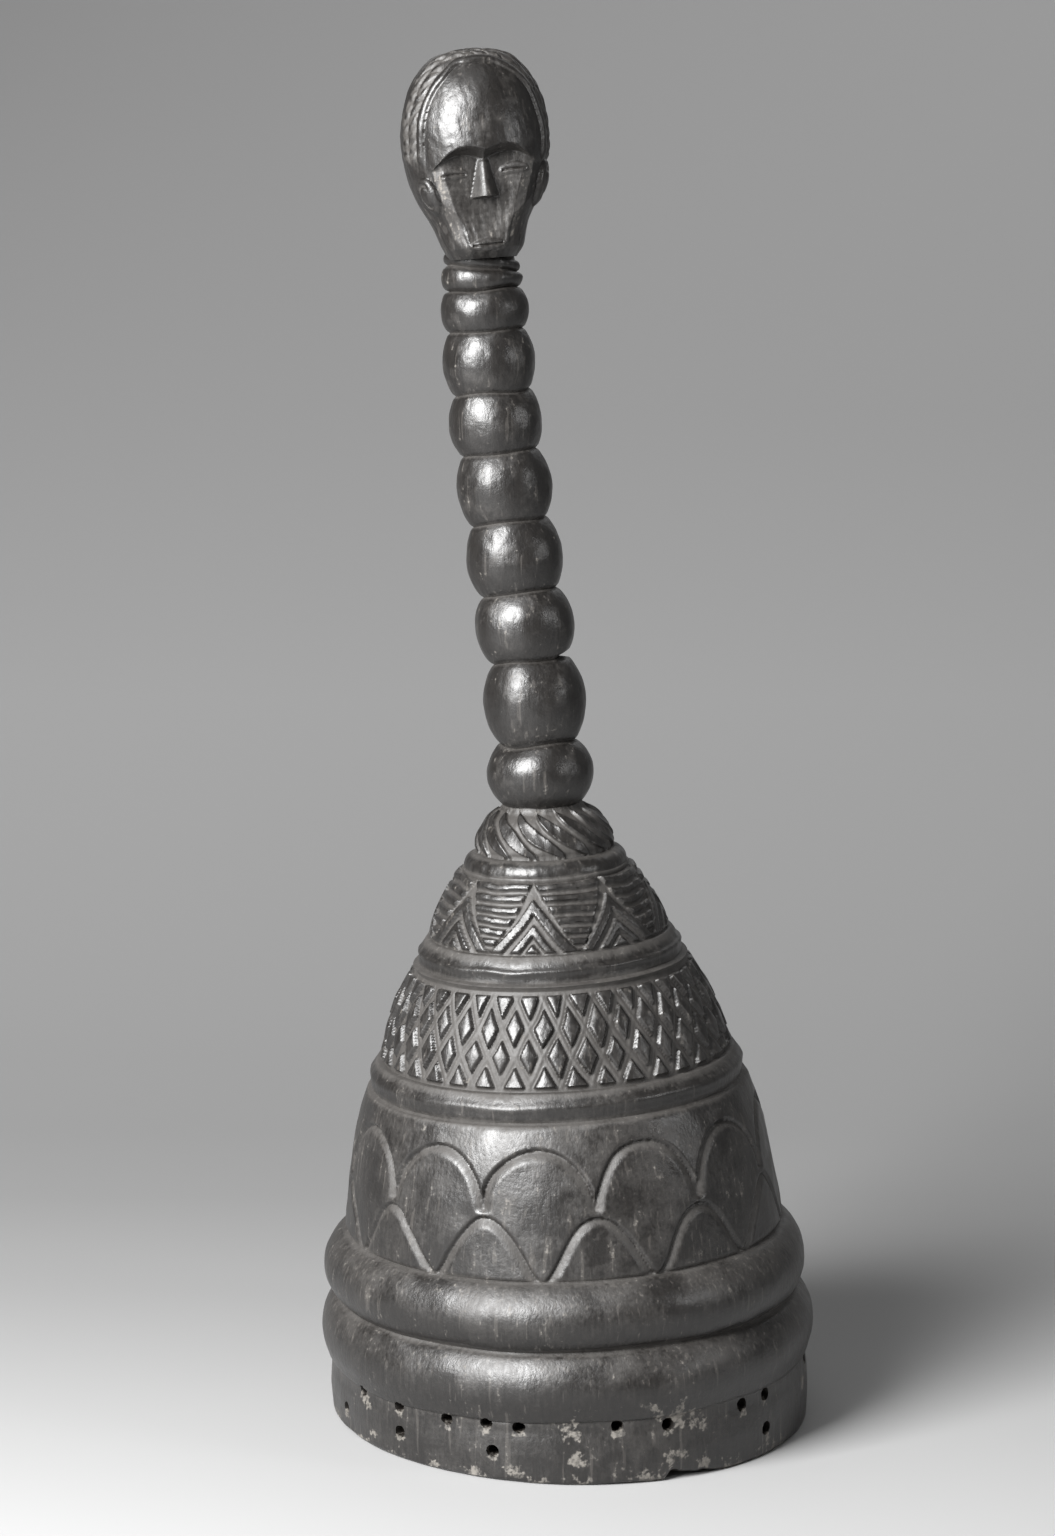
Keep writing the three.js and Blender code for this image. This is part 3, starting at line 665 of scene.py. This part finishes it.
def pierced(mesh):
    """The rim's wall with its lashing holes, each taken out of both faces and joined through."""
    bm = bmesh.new()
    bm.from_mesh(mesh)
    faces = [face for face in bm.faces if face.calc_center_median().z < RIM_TOP + 5]
    angle, radius, height = polar(np.array([face.calc_center_median() for face in faces]))
    outer_wall = radius > RIM_RADIUS - 3
    inner_wall = (radius < CAVITY[0][0] + 1) & (height > 0.3)
    random = np.random.default_rng(5)
    for at, up in HOLES:
        near = np.hypot(turned_by(angle - at, 360) * RIM_DEGREE, height - up) < HOLE_RADIUS + 0.2
        loops = []
        for wall, wider in ((outer_wall, HOLE_WIDENING), (inner_wall, -HOLE_WIDENING)):
            gone = [faces[index] for index in np.flatnonzero(near & wall)]
            # Dictionaries keep the order of the mesh, so every run moves each point by the same draw
            edges = dict.fromkeys(edge for face in gone for edge in face.edges)
            bmesh.ops.delete(bm, geom=gone, context="FACES")
            lip = [edge for edge in edges if edge.is_valid and edge.is_boundary]
            for vert in dict.fromkeys(vert for edge in lip for vert in edge.verts):
                place = math.degrees(math.atan2(vert.co.x, -vert.co.y))
                across, rise = turned_by(place - at, 360) * RIM_DEGREE, vert.co.z - up
                size = (HOLE_RADIUS + wider) * random.uniform(*HOLE_UNEVENNESS)
                grow = size / math.hypot(across, rise)
                turned = math.radians(at + across * grow / RIM_DEGREE)
                distance = math.hypot(vert.co.x, vert.co.y)
                vert.co = (distance * math.sin(turned), -distance * math.cos(turned), up + rise * grow)
            loops += lip
        bmesh.ops.bridge_loops(bm, edges=loops)
    bmesh.ops.recalc_face_normals(bm, faces=bm.faces)
    bm.to_mesh(mesh)
    bm.free()
    return mesh


def chip_depth(angle, height):
    """How far the rim's underside is chipped and nicked away."""
    edge = 1 - ramp(height, 0, 9)
    across = (angle - CHIP["angle"]) * RIM_DEGREE / CHIP["half_width"]
    chip = CHIP["height"] * plateau(across, -1, -0.7, -0.5, 1.8)
    chip *= 1 + 0.2 * waves(angle, height, size=9, seed=61)
    nicks = 0.5 * np.clip(waves(angle, height * 0, size=22, seed=62), 0, 1)
    return edge * (chip + nicks)


def worn(angle, height):
    """Pale wood where the rim, its underside and the lower lips of its holes are worn."""
    ragged = mingled(angle, height, RIM_RADIUS, (0.3, 6, 71), (0.25, 2.6, 72))
    pale = np.zeros_like(angle)
    for at, up, size in WORN_SPOTS:
        reach = np.hypot(turned_by(angle - at, 360) * RIM_DEGREE, height - up) / size
        pale = np.maximum(pale, 1 - ramp(reach + ragged, 0.5, 1))
    for at, up in HOLES:
        across = turned_by(angle - at, 360) * RIM_DEGREE * 0.8
        reach = np.hypot(across, height - up + LIP_WEAR["below"]) / LIP_WEAR["size"]
        pale = np.maximum(pale, 0.9 * (1 - ramp(reach + 0.6 * ragged, 0.5, 1)))
    underside = 1 - ramp(height + 9 * ragged, 1, 5)
    patches = waves(angle, height * 0, size=30, seed=73, radius=RIM_RADIUS)
    return np.maximum(pale, underside * np.clip(0.4 + patches, 0, 0.9))


def film_on(angle, height):
    """Cloudy old film, more of it low down and on what faces up, and hardly any on the stain."""
    cloud = 0.72 + mingled(angle, height, BELL_RADIUS, (0.22, 55, 75), (0.2, 20, 76))
    low = 1 - 0.55 * ramp(height, 150, 240)
    facing_up = 0.3 + 0.7 * ramp(-np.interp(height, HEIGHTS, OUTSIDE_SLOPE), -0.5, 0.9)
    at, up, size = STAIN
    across = turned_by(angle - at, 360) * math.radians(1) * radius_on(OUTSIDE, height)
    reach = np.hypot(across, (height - up) * 0.8) / size
    stain = 1 - ramp(reach + 0.3 * waves(angle, height, size=5, seed=77), 0.6, 1.05)
    return np.clip(cloud, 0, 1) * low * facing_up * (1 - 0.9 * stain)


def carve_bell(mesh):
    """Moves the points of a stretch of the bell by its carving, and marks its dust and wear."""
    angle, radius, height = polar(points_of(mesh))
    inside = radius_on(INSIDE, height)
    wall = np.maximum(radius_on(OUTSIDE, height) - inside, 1)
    share = np.clip((radius - inside) / wall, 0, 1)
    depth, dust = bell_carving(angle, height)
    slope = np.interp(height, HEIGHTS, OUTSIDE_SLOPE)
    inwards = depth * share ** 3 / np.hypot(1, slope)
    lifted = height + inwards * slope * ramp(height, 0, 2) + chip_depth(angle, height) * share
    inner = (share < 0.02) | (height < 0.01)
    mark(mesh, dust=np.where(inner, INNER_DUST, dust), worn=worn(angle, height) * (share > 0.4),
         raw=1 - share, film=film_on(angle, height) * share)
    put_points(mesh, stood(upright(angle, radius - inwards, lifted)))
    return mesh


# The neck


def neck_outline():
    points = [[0, NECK_ROOT[1]], list(NECK_ROOT)]
    for radius, low, high in zip(BEAD_RADII, BEAD_SEAMS, BEAD_SEAMS[1:]):
        points += swelling((SEAM_RADIUS, low), (SEAM_RADIUS, high), radius - SEAM_RADIUS, 36)
    for radius, low, high in zip(COLLAR_RADII, COLLAR_SEAMS, COLLAR_SEAMS[1:]):
        swell = radius - COLLAR_SEAM_RADIUS
        points += swelling((COLLAR_SEAM_RADIUS, low), (COLLAR_SEAM_RADIUS, high), swell, 12)
    return points + [[COLLAR_SEAM_RADIUS, COLLAR_SEAMS[-1]], list(NECK_TIP), [0, NECK_TIP[1]]]


def neck_piece():
    """The stack of beads and the tilted collar, with the old break in one seam."""
    mesh = wrapped("beaded_neck", neck_outline(), NECK_COLUMNS, closed=False)
    angle, radius, height = polar(points_of(mesh))
    seams = np.array(BEAD_SEAMS + COLLAR_SEAMS[1:])
    to_seam = np.abs(height[:, None] - seams).min(axis=1)
    on_skin = ramp(radius, 15.5, 17)
    beside_break = 1 - ramp(np.abs(turned_by(angle - BREAK_ANGLE, 360)), *BREAK_REACH)
    gape = BREAK_DEPTH * beside_break * bump_at(height, BREAK_HEIGHT, 1.1)
    cut = gape + 0.8 * bump_at(to_seam, 0, 0.8)
    handwork = mingled(angle, height, NECK_RADIUS, (0.3, 26, 81), (0.08, 7, 82))
    collar = plateau(height, *COLLAR_FIELD)
    lift = COLLAR_TILT * collar * np.sin(np.radians(-angle))
    uneven = waves(angle, height, size=40, seed=83, radius=NECK_RADIUS)
    lifted = height + on_skin * (lift + 0.6 * uneven * (1 - ramp(to_seam, 0, 8)))
    cloud = 0.2 + mingled(angle, lifted, NECK_RADIUS, (0.2, 22, 85), (0.15, 8, 86))
    mark(mesh, dust=0.9 * bump_at(to_seam, 0, 1.1), worn=0 * height, raw=0 * height, film=cloud)
    put_points(mesh, stood(upright(angle, np.maximum(radius + on_skin * (handwork - cut), 0), lifted)))
    return mesh


# The head


def head_height(share):
    return CHIN + share * HEAD_HEIGHT


def head_share(height):
    return (height - CHIN) / HEAD_HEIGHT


def face_plane(height):
    """How far the flat face lies in front of the axis."""
    slope = (FACE_BROW_DEPTH - FACE_CHIN_DEPTH) / (FACE_BROW - FACE_CHIN)
    return (FACE_CHIN_DEPTH + slope * (head_share(height) - FACE_CHIN)) * HEAD_HALF_WIDTH


def face_half_width(height):
    rise = np.clip((head_share(height) - FACE_CHIN) / (FACE_BROW - FACE_CHIN), 0, 1)
    return (FACE_CHIN_HALF_WIDTH + (FACE_HALF_WIDTH - FACE_CHIN_HALF_WIDTH) * rise) * HEAD_HALF_WIDTH


def nose(side, height):
    """How far the nose stands out: a wedge that grows wider and prouder down to its tip."""
    top, tip = head_height(NOSE["top"]), head_height(NOSE["tip"])
    down = np.clip((top - height) / (top - tip), 0, 1)
    half = np.interp(down, (0, 1), NOSE["half_width"])
    out = np.interp(down, (0, 1), NOSE["proud"]) * np.clip(1 - (np.abs(side) / half) ** 1.8, 0, 1)
    return out * plateau(height, tip - 0.3, tip + 0.5, top - 1, top + 3)


def eye(side, height, which):
    """A narrow, drooping lid on one side of the nose, with a slit along it."""
    across = (side - which * EYES["apart"] * HEAD_HALF_WIDTH) / EYES["half_length"]
    lid_line = head_height(EYES["height"]) - EYES["droop"] * across ** 2
    up = (height - lid_line) / EYES["half_height"]
    lid = np.clip(1 - across ** 2 - up ** 2, 0, 1) ** 0.5
    slit = bump_at(height, lid_line - EYE_SLIT["below"], EYE_SLIT["half_width"])
    return lid - EYE_SLIT["depth"] * slit * (np.abs(across) < EYE_SLIT["reach"])


def mouth(side, height):
    """Short, parted lips at the foot of the face."""
    level = head_height(MOUTH["height"])
    across = side / MOUTH["half_length"]
    up = (height - level) / MOUTH["half_height"]
    lips = np.clip(1 - np.abs(across) ** 1.6 - np.abs(up) ** 1.6, 0, 1) ** 0.6
    parting = bump_at(height, level, MOUTH_PARTING["half_width"]) * (lips > 0)
    parting *= np.abs(across) < MOUTH_PARTING["reach"]
    return MOUTH["proud"] * lips - MOUTH_PARTING["depth"] * parting


def face_front(side, height, skull_front):
    """How far the head reaches in front of the axis with its face, where that is cut, and the cheeks'
    painted highlight.
    """
    brow = head_height(FACE_BROW)
    half = face_half_width(height)
    out = np.abs(side) / (BROW_HALF_WIDTH * HEAD_HALF_WIDTH)
    arch = brow + BROW_ARCH * np.sin(np.clip(out, 0, 1.2) * math.pi) - BROW_DROOP * out ** 3
    past_brow = np.maximum(0, height - arch)
    hollow = FACE_HOLLOW * np.clip(1 - (np.abs(side) / half) ** 2, 0, 1)
    hollow *= ramp(height, head_height(0.1), head_height(0.2))
    flat = face_plane(height) + BROW_SLOPE * past_brow - hollow
    beside = plateau(height, head_height(0.04), head_height(0.12), brow - 3.5, brow)
    past_face = np.abs(side) - half
    bevel = CHEEK_SLOPE * np.clip(past_face, 0, CHEEK_WIDTH)
    bevel += JAW_SLOPE * np.maximum(0, past_face - CHEEK_WIDTH)
    front = np.minimum(skull_front, flat - beside * bevel)
    # The strip along the cheeks' bevels, which the finish paints pale as a highlight
    cheek_highlight = beside * plateau(past_face, -0.3, 0.5, CHEEK_WIDTH - 0.5, CHEEK_WIDTH + 0.5)
    inside = (flat < skull_front + 1) & (past_brow < 1)
    features = nose(side, height) + eye(side, height, -1) + eye(side, height, 1)
    front = front + np.where(inside, features, 0) + mouth(side, height)
    return front, flat < skull_front, cheek_highlight


def jutting(height):
    """How far the head juts forward of its axis: most at the chin, less under it."""
    share = head_share(height)
    under_chin = np.minimum(1, UNDER_CHIN + (1 - UNDER_CHIN) * share / CHIN_EDGE)
    return CHIN_FORWARD * under_chin * np.maximum(0, 1 - share / LEVEL_WITH_AXIS) ** 2


def braids(angle, side, back, height):
    """Hair from over one ear across the crown to the other: a smooth row, then two plaited ones."""
    from_front = back - HAIR_FRONT + HAIR_LEAN * (height - head_height(0.5))
    from_front += 0.5 * waves(angle, height, size=18, seed=96, radius=HEAD_RADIUS)
    from_front += 3.2 * ramp(-angle, 20, 60)
    rear = HAIR_ROWS[-1]
    on_hair = plateau(from_front, -0.3, 0.6, rear - 0.5, rear + 0.4)
    on_hair *= ramp(height, head_height(0.43), head_height(0.5))
    row = np.clip(np.searchsorted(HAIR_ROWS, from_front, side="right") - 1, 0, len(HAIR_ROWS) - 2)
    within = (from_front - np.array(HAIR_ROWS)[row]) / np.diff(HAIR_ROWS)[row] - 0.5
    strand = np.clip(1 - (2 * within) ** 2, 0, 1) ** 0.6
    along = np.arctan2(side, height - head_height(0.45)) * HAIR_RADIUS
    along += 1.4 * waves(angle, height, size=14, seed=97, radius=HEAD_RADIUS)
    twist = along / STRAND_PITCH * math.pi + row * STRAND_SHIFT + within * STRAND_SLANT
    notch = np.where(row > 0, 1 - np.abs(np.sin(twist)) ** 0.6, 0)
    patches = np.clip(0.5 + 0.8 * waves(angle, height, size=6, seed=98, radius=HEAD_RADIUS), 0, 1)
    # Dust on the plaited rows, painted paler towards the left side, where the key light falls
    dust_and_painted_light = np.where(row > 0, 0.35 + 0.35 * ramp(-angle, 10, 60), 0.1)
    dust = on_hair * (0.75 * (1 - strand) + 0.7 * notch + dust_and_painted_light * patches)
    return on_hair * strand * (HAIR_PROUD - notch), dust


def ears(angle, height):
    """A smooth lobe at each side, with a shallow C cut in it."""
    proud = np.zeros_like(angle)
    dust = np.zeros_like(angle)
    for side, at, share, half_height in EARS:
        back = (side * angle - at) * EAR_DEGREE
        reach = np.hypot(back / EAR_HALF_DEPTH, (height - head_height(share)) / half_height)
        lobe = np.clip(1 - reach ** 2, 0, 1) ** 0.5
        cut = bump_at(reach, 0.58, 0.11) * ramp(back, -3.4, -0.8)
        proud += EAR_PROUD * lobe - EAR_CUT * cut
        dust = np.maximum(dust, 0.75 * cut)
    return proud, dust


def head_outline():
    sides = [*rounded(HEAD_OUTLINE, 10), *HEAD_CROWN]
    sides = [[width * HEAD_HALF_WIDTH, head_height(share)] for width, share in sides]
    return spaced([[0, CHIN], sides[0]], HEAD_FOOT_GAP)[:-1] + spaced(sides, HEAD_GAP)


def head_piece():
    """The small head: bulging forehead, flat three-cornered face, ears and braids."""
    mesh = wrapped("carved_head", head_outline(), HEAD_COLUMNS, closed=False)
    points = points_of(mesh)
    angle, radius, height = polar(points)
    side = points[:, 0]
    back = points[:, 1] * HEAD_DEPTH_RATIO
    ear_proud, ear_dust = ears(angle, height)
    hair_proud, hair_dust_and_painted_light = braids(angle, side, back, height)
    jut = jutting(height)
    front, is_face, cheek_highlight = face_front(side, height - FACE_TILT * side, jut - back)
    on_front = (back < 0) & (ear_proud < 0.1) & (hair_proud < 0.1)
    depth = np.where(on_front, -front, back - jut)
    outward = 1 + (ear_proud + hair_proud) / np.maximum(radius, 12)
    handwork = mingled(angle, height, HEAD_RADIUS, (0.25, 22, 91), (0.07, 6, 92))
    handwork = 1 + handwork / np.maximum(radius, 14)
    across = side * outward * handwork
    deep = ((depth + jut) * outward - jut) * handwork
    rise = 0.7 * hair_proud * ramp(height, head_height(0.85), head_height(1))
    turned = math.radians(HEAD_TURN)
    moved = np.column_stack([
        across * math.cos(turned) - deep * math.sin(turned),
        across * math.sin(turned) + deep * math.cos(turned),
        height + rise,
    ])
    face_dust = np.where(is_face & on_front, FACE_DUST, 0)
    low = 1 - ramp(height, head_height(0.2), head_height(0.34))
    patches = ramp(-waves(angle, height, size=9, seed=93, radius=JAW_RADIUS), 0.1, 0.8)
    jaw_dust = 0.55 * patches * low * ~is_face
    # The hair's dust holds painted light on its left side
    dust = np.maximum.reduce([ear_dust, hair_dust_and_painted_light, face_dust, jaw_dust])
    cloud = 0.2 + mingled(angle, height, HEAD_RADIUS, (0.25, 24, 94), (0.2, 8, 95))
    cheek_highlight *= on_front
    # The strip along the cheeks' bevels is painted pale, with worn wood and film, as a highlight
    mark(mesh, dust=dust * (1 - cheek_highlight), worn=CHEEK_HIGHLIGHT_PALENESS * cheek_highlight, raw=0 * height,
         film=cloud + 0.8 * cheek_highlight)
    put_points(mesh, stood(moved))
    return mesh


# Finishes


class Value:
    """A number on the surface. Arithmetic on it adds Math nodes."""

    def __init__(self, finish, socket):
        self.finish = finish
        self.socket = socket

    def _with(self, operation, *values):
        return self.finish.node("ShaderNodeMath", {"operation": operation}, dict(enumerate(values)))

    def __add__(self, other):
        return self._with("ADD", self, other)

    __radd__ = __add__

    def __sub__(self, other):
        return self._with("SUBTRACT", self, other)

    def __rsub__(self, other):
        return self._with("SUBTRACT", other, self)

    def __mul__(self, other):
        return self._with("MULTIPLY", self, other)

    __rmul__ = __mul__

    def clamped(self):
        return self.finish.node("ShaderNodeClamp", {}, {0: self})


class Finish:
    """A material under a name, built up from nodes."""

    def __init__(self, name):
        self.material = bpy.data.materials.new(name)
        self.material.use_nodes = True
        self.tree = self.material.node_tree
        self.shader = self.tree.nodes["Principled BSDF"]

    def node(self, kind, settings, inputs, output=0):
        """Adds a node, sets its settings, then its sockets to values or links, and gives an output."""
        added = self.tree.nodes.new(kind)
        for key, value in settings.items():
            if key == "stops":
                self.set_stops(added.color_ramp.elements, value)
            else:
                setattr(added, key, value)
        for key, value in inputs.items():
            self.feed(added.inputs[key], value)
        return Value(self, added.outputs[output])

    def set_stops(self, elements, stops):
        """Sets a ramp's stops, each a position and a grey."""
        while len(elements) < len(stops):
            elements.new(0.5)
        for element, (position, grey) in zip(elements, stops):
            element.position = position
            element.color = (grey, grey, grey, 1)

    def feed(self, socket, value):
        """Links a value to a socket, or sets the socket to a number or a colour."""
        if isinstance(value, Value):
            self.tree.links.new(value.socket, socket)
        elif socket.type == "RGBA":
            socket.default_value = (*value, 1)
        else:
            socket.default_value = value

    def attribute(self, name):
        return self.node("ShaderNodeAttribute", {"attribute_name": name}, {}, "Fac")

    def place(self, stretch_by=(1, 1, 1)):
        """The place on the object, stretched along its axes."""
        place = self.node("ShaderNodeTexCoord", {}, {}, "Object")
        return self.node("ShaderNodeMapping", {}, {"Vector": place, "Scale": stretch_by})

    def noise(self, place, scale, detail, roughness):
        return self.node("ShaderNodeTexNoise", {},
                         {"Vector": place, "Scale": scale, "Detail": detail, "Roughness": roughness})

    def between(self, value, low, high):
        """0 at low, 1 at high and straight between."""
        return self.node("ShaderNodeMapRange", {}, {"Value": value, "From Min": low, "From Max": high})

    def mix(self, share, first, second):
        """A colour between two."""
        return self.node("ShaderNodeMix", {"data_type": "RGBA"}, {0: share, 6: first, 7: second}, 2)

    def bump(self, height, strength, distance, **under):
        """Normals for a height's relief, over another bump's Normal if that is given."""
        inputs = {"Height": height, "Strength": strength, "Distance": distance, **under}
        return self.node("ShaderNodeBump", {}, inputs)

    def done(self, **inputs):
        """The material, once the shader's sockets of these names are fed."""
        for name, value in inputs.items():
            self.feed(self.shader.inputs[name.replace("_", " ")], value)
        return self.material


def blackened_wood():
    """Oiled black wood, glossy where handled: pale dust in carving, worn pale spots and painted light.
    """
    finish = Finish("blackened_wood")
    place = finish.place()
    cloud = finish.noise(place, scale=28, detail=5, roughness=0.55)
    mottle = finish.noise(place, scale=110, detail=5, roughness=0.65)
    speck = finish.noise(place, scale=480, detail=3, roughness=0.6)
    grain = finish.noise(finish.place((1, 1, 0.12)), scale=520, detail=4, roughness=0.6)
    streak = finish.noise(finish.place((1, 1, 0.05)), scale=420, detail=2, roughness=0.5)
    film_mark = finish.attribute("film")
    patchy = film_mark + (cloud - 0.5) * 0.8 + (mottle - 0.5) * 1.1 + (speck - 0.5) * 0.9
    film = finish.between(patchy + (grain - 0.5) * 0.5, 0.25, 1.05)
    # Dust in the carving, with painted light on the left side of the hair
    settled = finish.attribute("dust") + (speck - 0.5) * 0.7 + (mottle - 0.5) * 0.7
    dust_and_painted_light = finish.between(settled, 0.2, 0.85)
    scratch = finish.between(streak + film_mark * 0.12, 0.66, 0.74)
    flaking = (mottle - 0.5) * 1.6 + (speck - 0.5) * 2 + (streak - 0.5) * 1.4
    # Worn pale wood, which on the cheeks' bevels is a painted highlight
    bare_wood_and_highlight = finish.between(finish.attribute("worn") * 0.95 + flaking, 0.45, 0.95)
    colour = finish.mix(finish.between(grain, 0.35, 0.7), BLACK_WOOD, BROWN_WOOD)
    colour = finish.mix(film * 0.85, colour, OLD_FILM)
    colour = finish.mix(scratch * 0.4, colour, SCRATCHES)
    colour = finish.mix(dust_and_painted_light * 0.8, colour, DUST)
    colour = finish.mix(finish.attribute("raw"), colour, INNER_WOOD)
    pale = finish.mix(finish.between(speck, 0.38, 0.6), *WORN_WOOD_AND_HIGHLIGHT)
    colour = finish.mix(bare_wood_and_highlight * 0.85, colour, pale)
    rough = 0.375 + film * 0.17 + dust_and_painted_light * 0.22 + bare_wood_and_highlight * 0.2 + (mottle - 0.5) * 0.15
    fine = finish.bump(speck, strength=0.3, distance=0.0006)
    pores = finish.bump(grain, strength=0.3, distance=0.0005, Normal=fine)
    tooled = finish.bump(mottle, strength=0.18, distance=0.0014, Normal=pores)
    return finish.done(Base_Color=colour, Roughness=rough.clamped(), Normal=tooled, IOR=1.65)


def studio_paper():
    """Paper with light and shade painted on in greys, which run along the floor and up the wall."""
    finish = Finish("studio_paper")
    place = finish.node("ShaderNodeTexCoord", {}, {}, "Object")
    across, back, height = (finish.node("ShaderNodeSeparateXYZ", {}, {0: place}, axis) for axis in "XYZ")
    along = finish.between(across * 0.25 + back * 0.97 + height, -0.25, 2.25)
    painted_shades = [finish.node("ShaderNodeValToRGB", {"stops": stops}, {0: along}) for stops in PAINTED_PAPER_SHADE]
    paper = finish.mix(finish.between(across, -0.4, 0.8), *painted_shades)
    return finish.done(Base_Color=paper, Roughness=0.8)


# The stage


def add_to_scene(name, data):
    thing = bpy.data.objects.new(name, data)
    bpy.context.scene.collection.objects.link(thing)
    return thing


def studio_sweep():
    """A pale floor that sweeps up into a low wall, square to the camera."""
    line = [(SWEEP["near"], 0), (SWEEP["flat_end"], 0)]
    for step in range(1, SWEEP["steps"] + 1):
        turned = math.radians(SWEEP["step"] * step)
        back = SWEEP["flat_end"] + SWEEP["curve_radius"] * math.sin(turned)
        line.append((back, SWEEP["curve_radius"] * (1 - math.cos(turned))))
    mesh, column, row = grid("studio_sweep", 1, len(line) - 1)
    across = (2 * column - 1) * SWEEP["half_width"]
    put_points(mesh, np.column_stack([across, np.array(line)[row]]))
    mesh.transform(Matrix.Rotation(math.radians(-CAMERA_TURN), 4, "Z"))
    mesh.shade_smooth()
    mesh.materials.append(studio_paper())
    sweep = add_to_scene("studio_sweep", mesh)


def camera():
    data = bpy.data.cameras.new("camera")
    data.lens = CAMERA_LENS
    data.sensor_width = 36
    data.clip_end = 20
    thing = add_to_scene("camera", data)
    thing.location = CAMERA_PLACE
    thing.rotation_euler = (math.radians(90 - CAMERA_PITCH), 0, math.radians(-CAMERA_TURN))
    bpy.context.scene.camera = thing


def lights():
    """Four soft lights, and a little light from all round."""
    for name, (place, at, size, power) in LIGHTS.items():
        data = bpy.data.lights.new(name, "AREA")
        data.shape = "RECTANGLE"
        data.size, data.size_y = size
        data.energy = power
        light = add_to_scene(name, data)
        light.location = place
        light.rotation_euler = (Vector(at) - Vector(place)).to_track_quat("-Z", "Y").to_euler()
    world = bpy.data.worlds.new("studio")
    bpy.context.scene.world = world
    world.use_nodes = True
    background = world.node_tree.nodes["Background"]
    background.inputs["Color"].default_value = (1, 1, 1, 1)
    background.inputs["Strength"].default_value = AMBIENT


def show(mesh, finish):
    """Adds a finished piece, which takes part in replacing the mask's plain solid."""
    mesh.shade_smooth()
    mesh.set_sharp_from_angle(angle=math.radians(50))
    mesh.materials.append(finish)
    piece = add_to_scene(mesh.name, mesh)
    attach(piece, "root")
    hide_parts("mask")


camera()
lights()
studio_sweep()
bpy.context.scene.view_settings.view_transform = "Standard"

wood = blackened_wood()
rim, *upper_stretches = STRETCHES
show(carve_bell(pierced(bell_skin(rim))), wood)
for name in upper_stretches:
    show(carve_bell(bell_skin(name)), wood)
show(neck_piece(), wood)
show(head_piece(), wood)
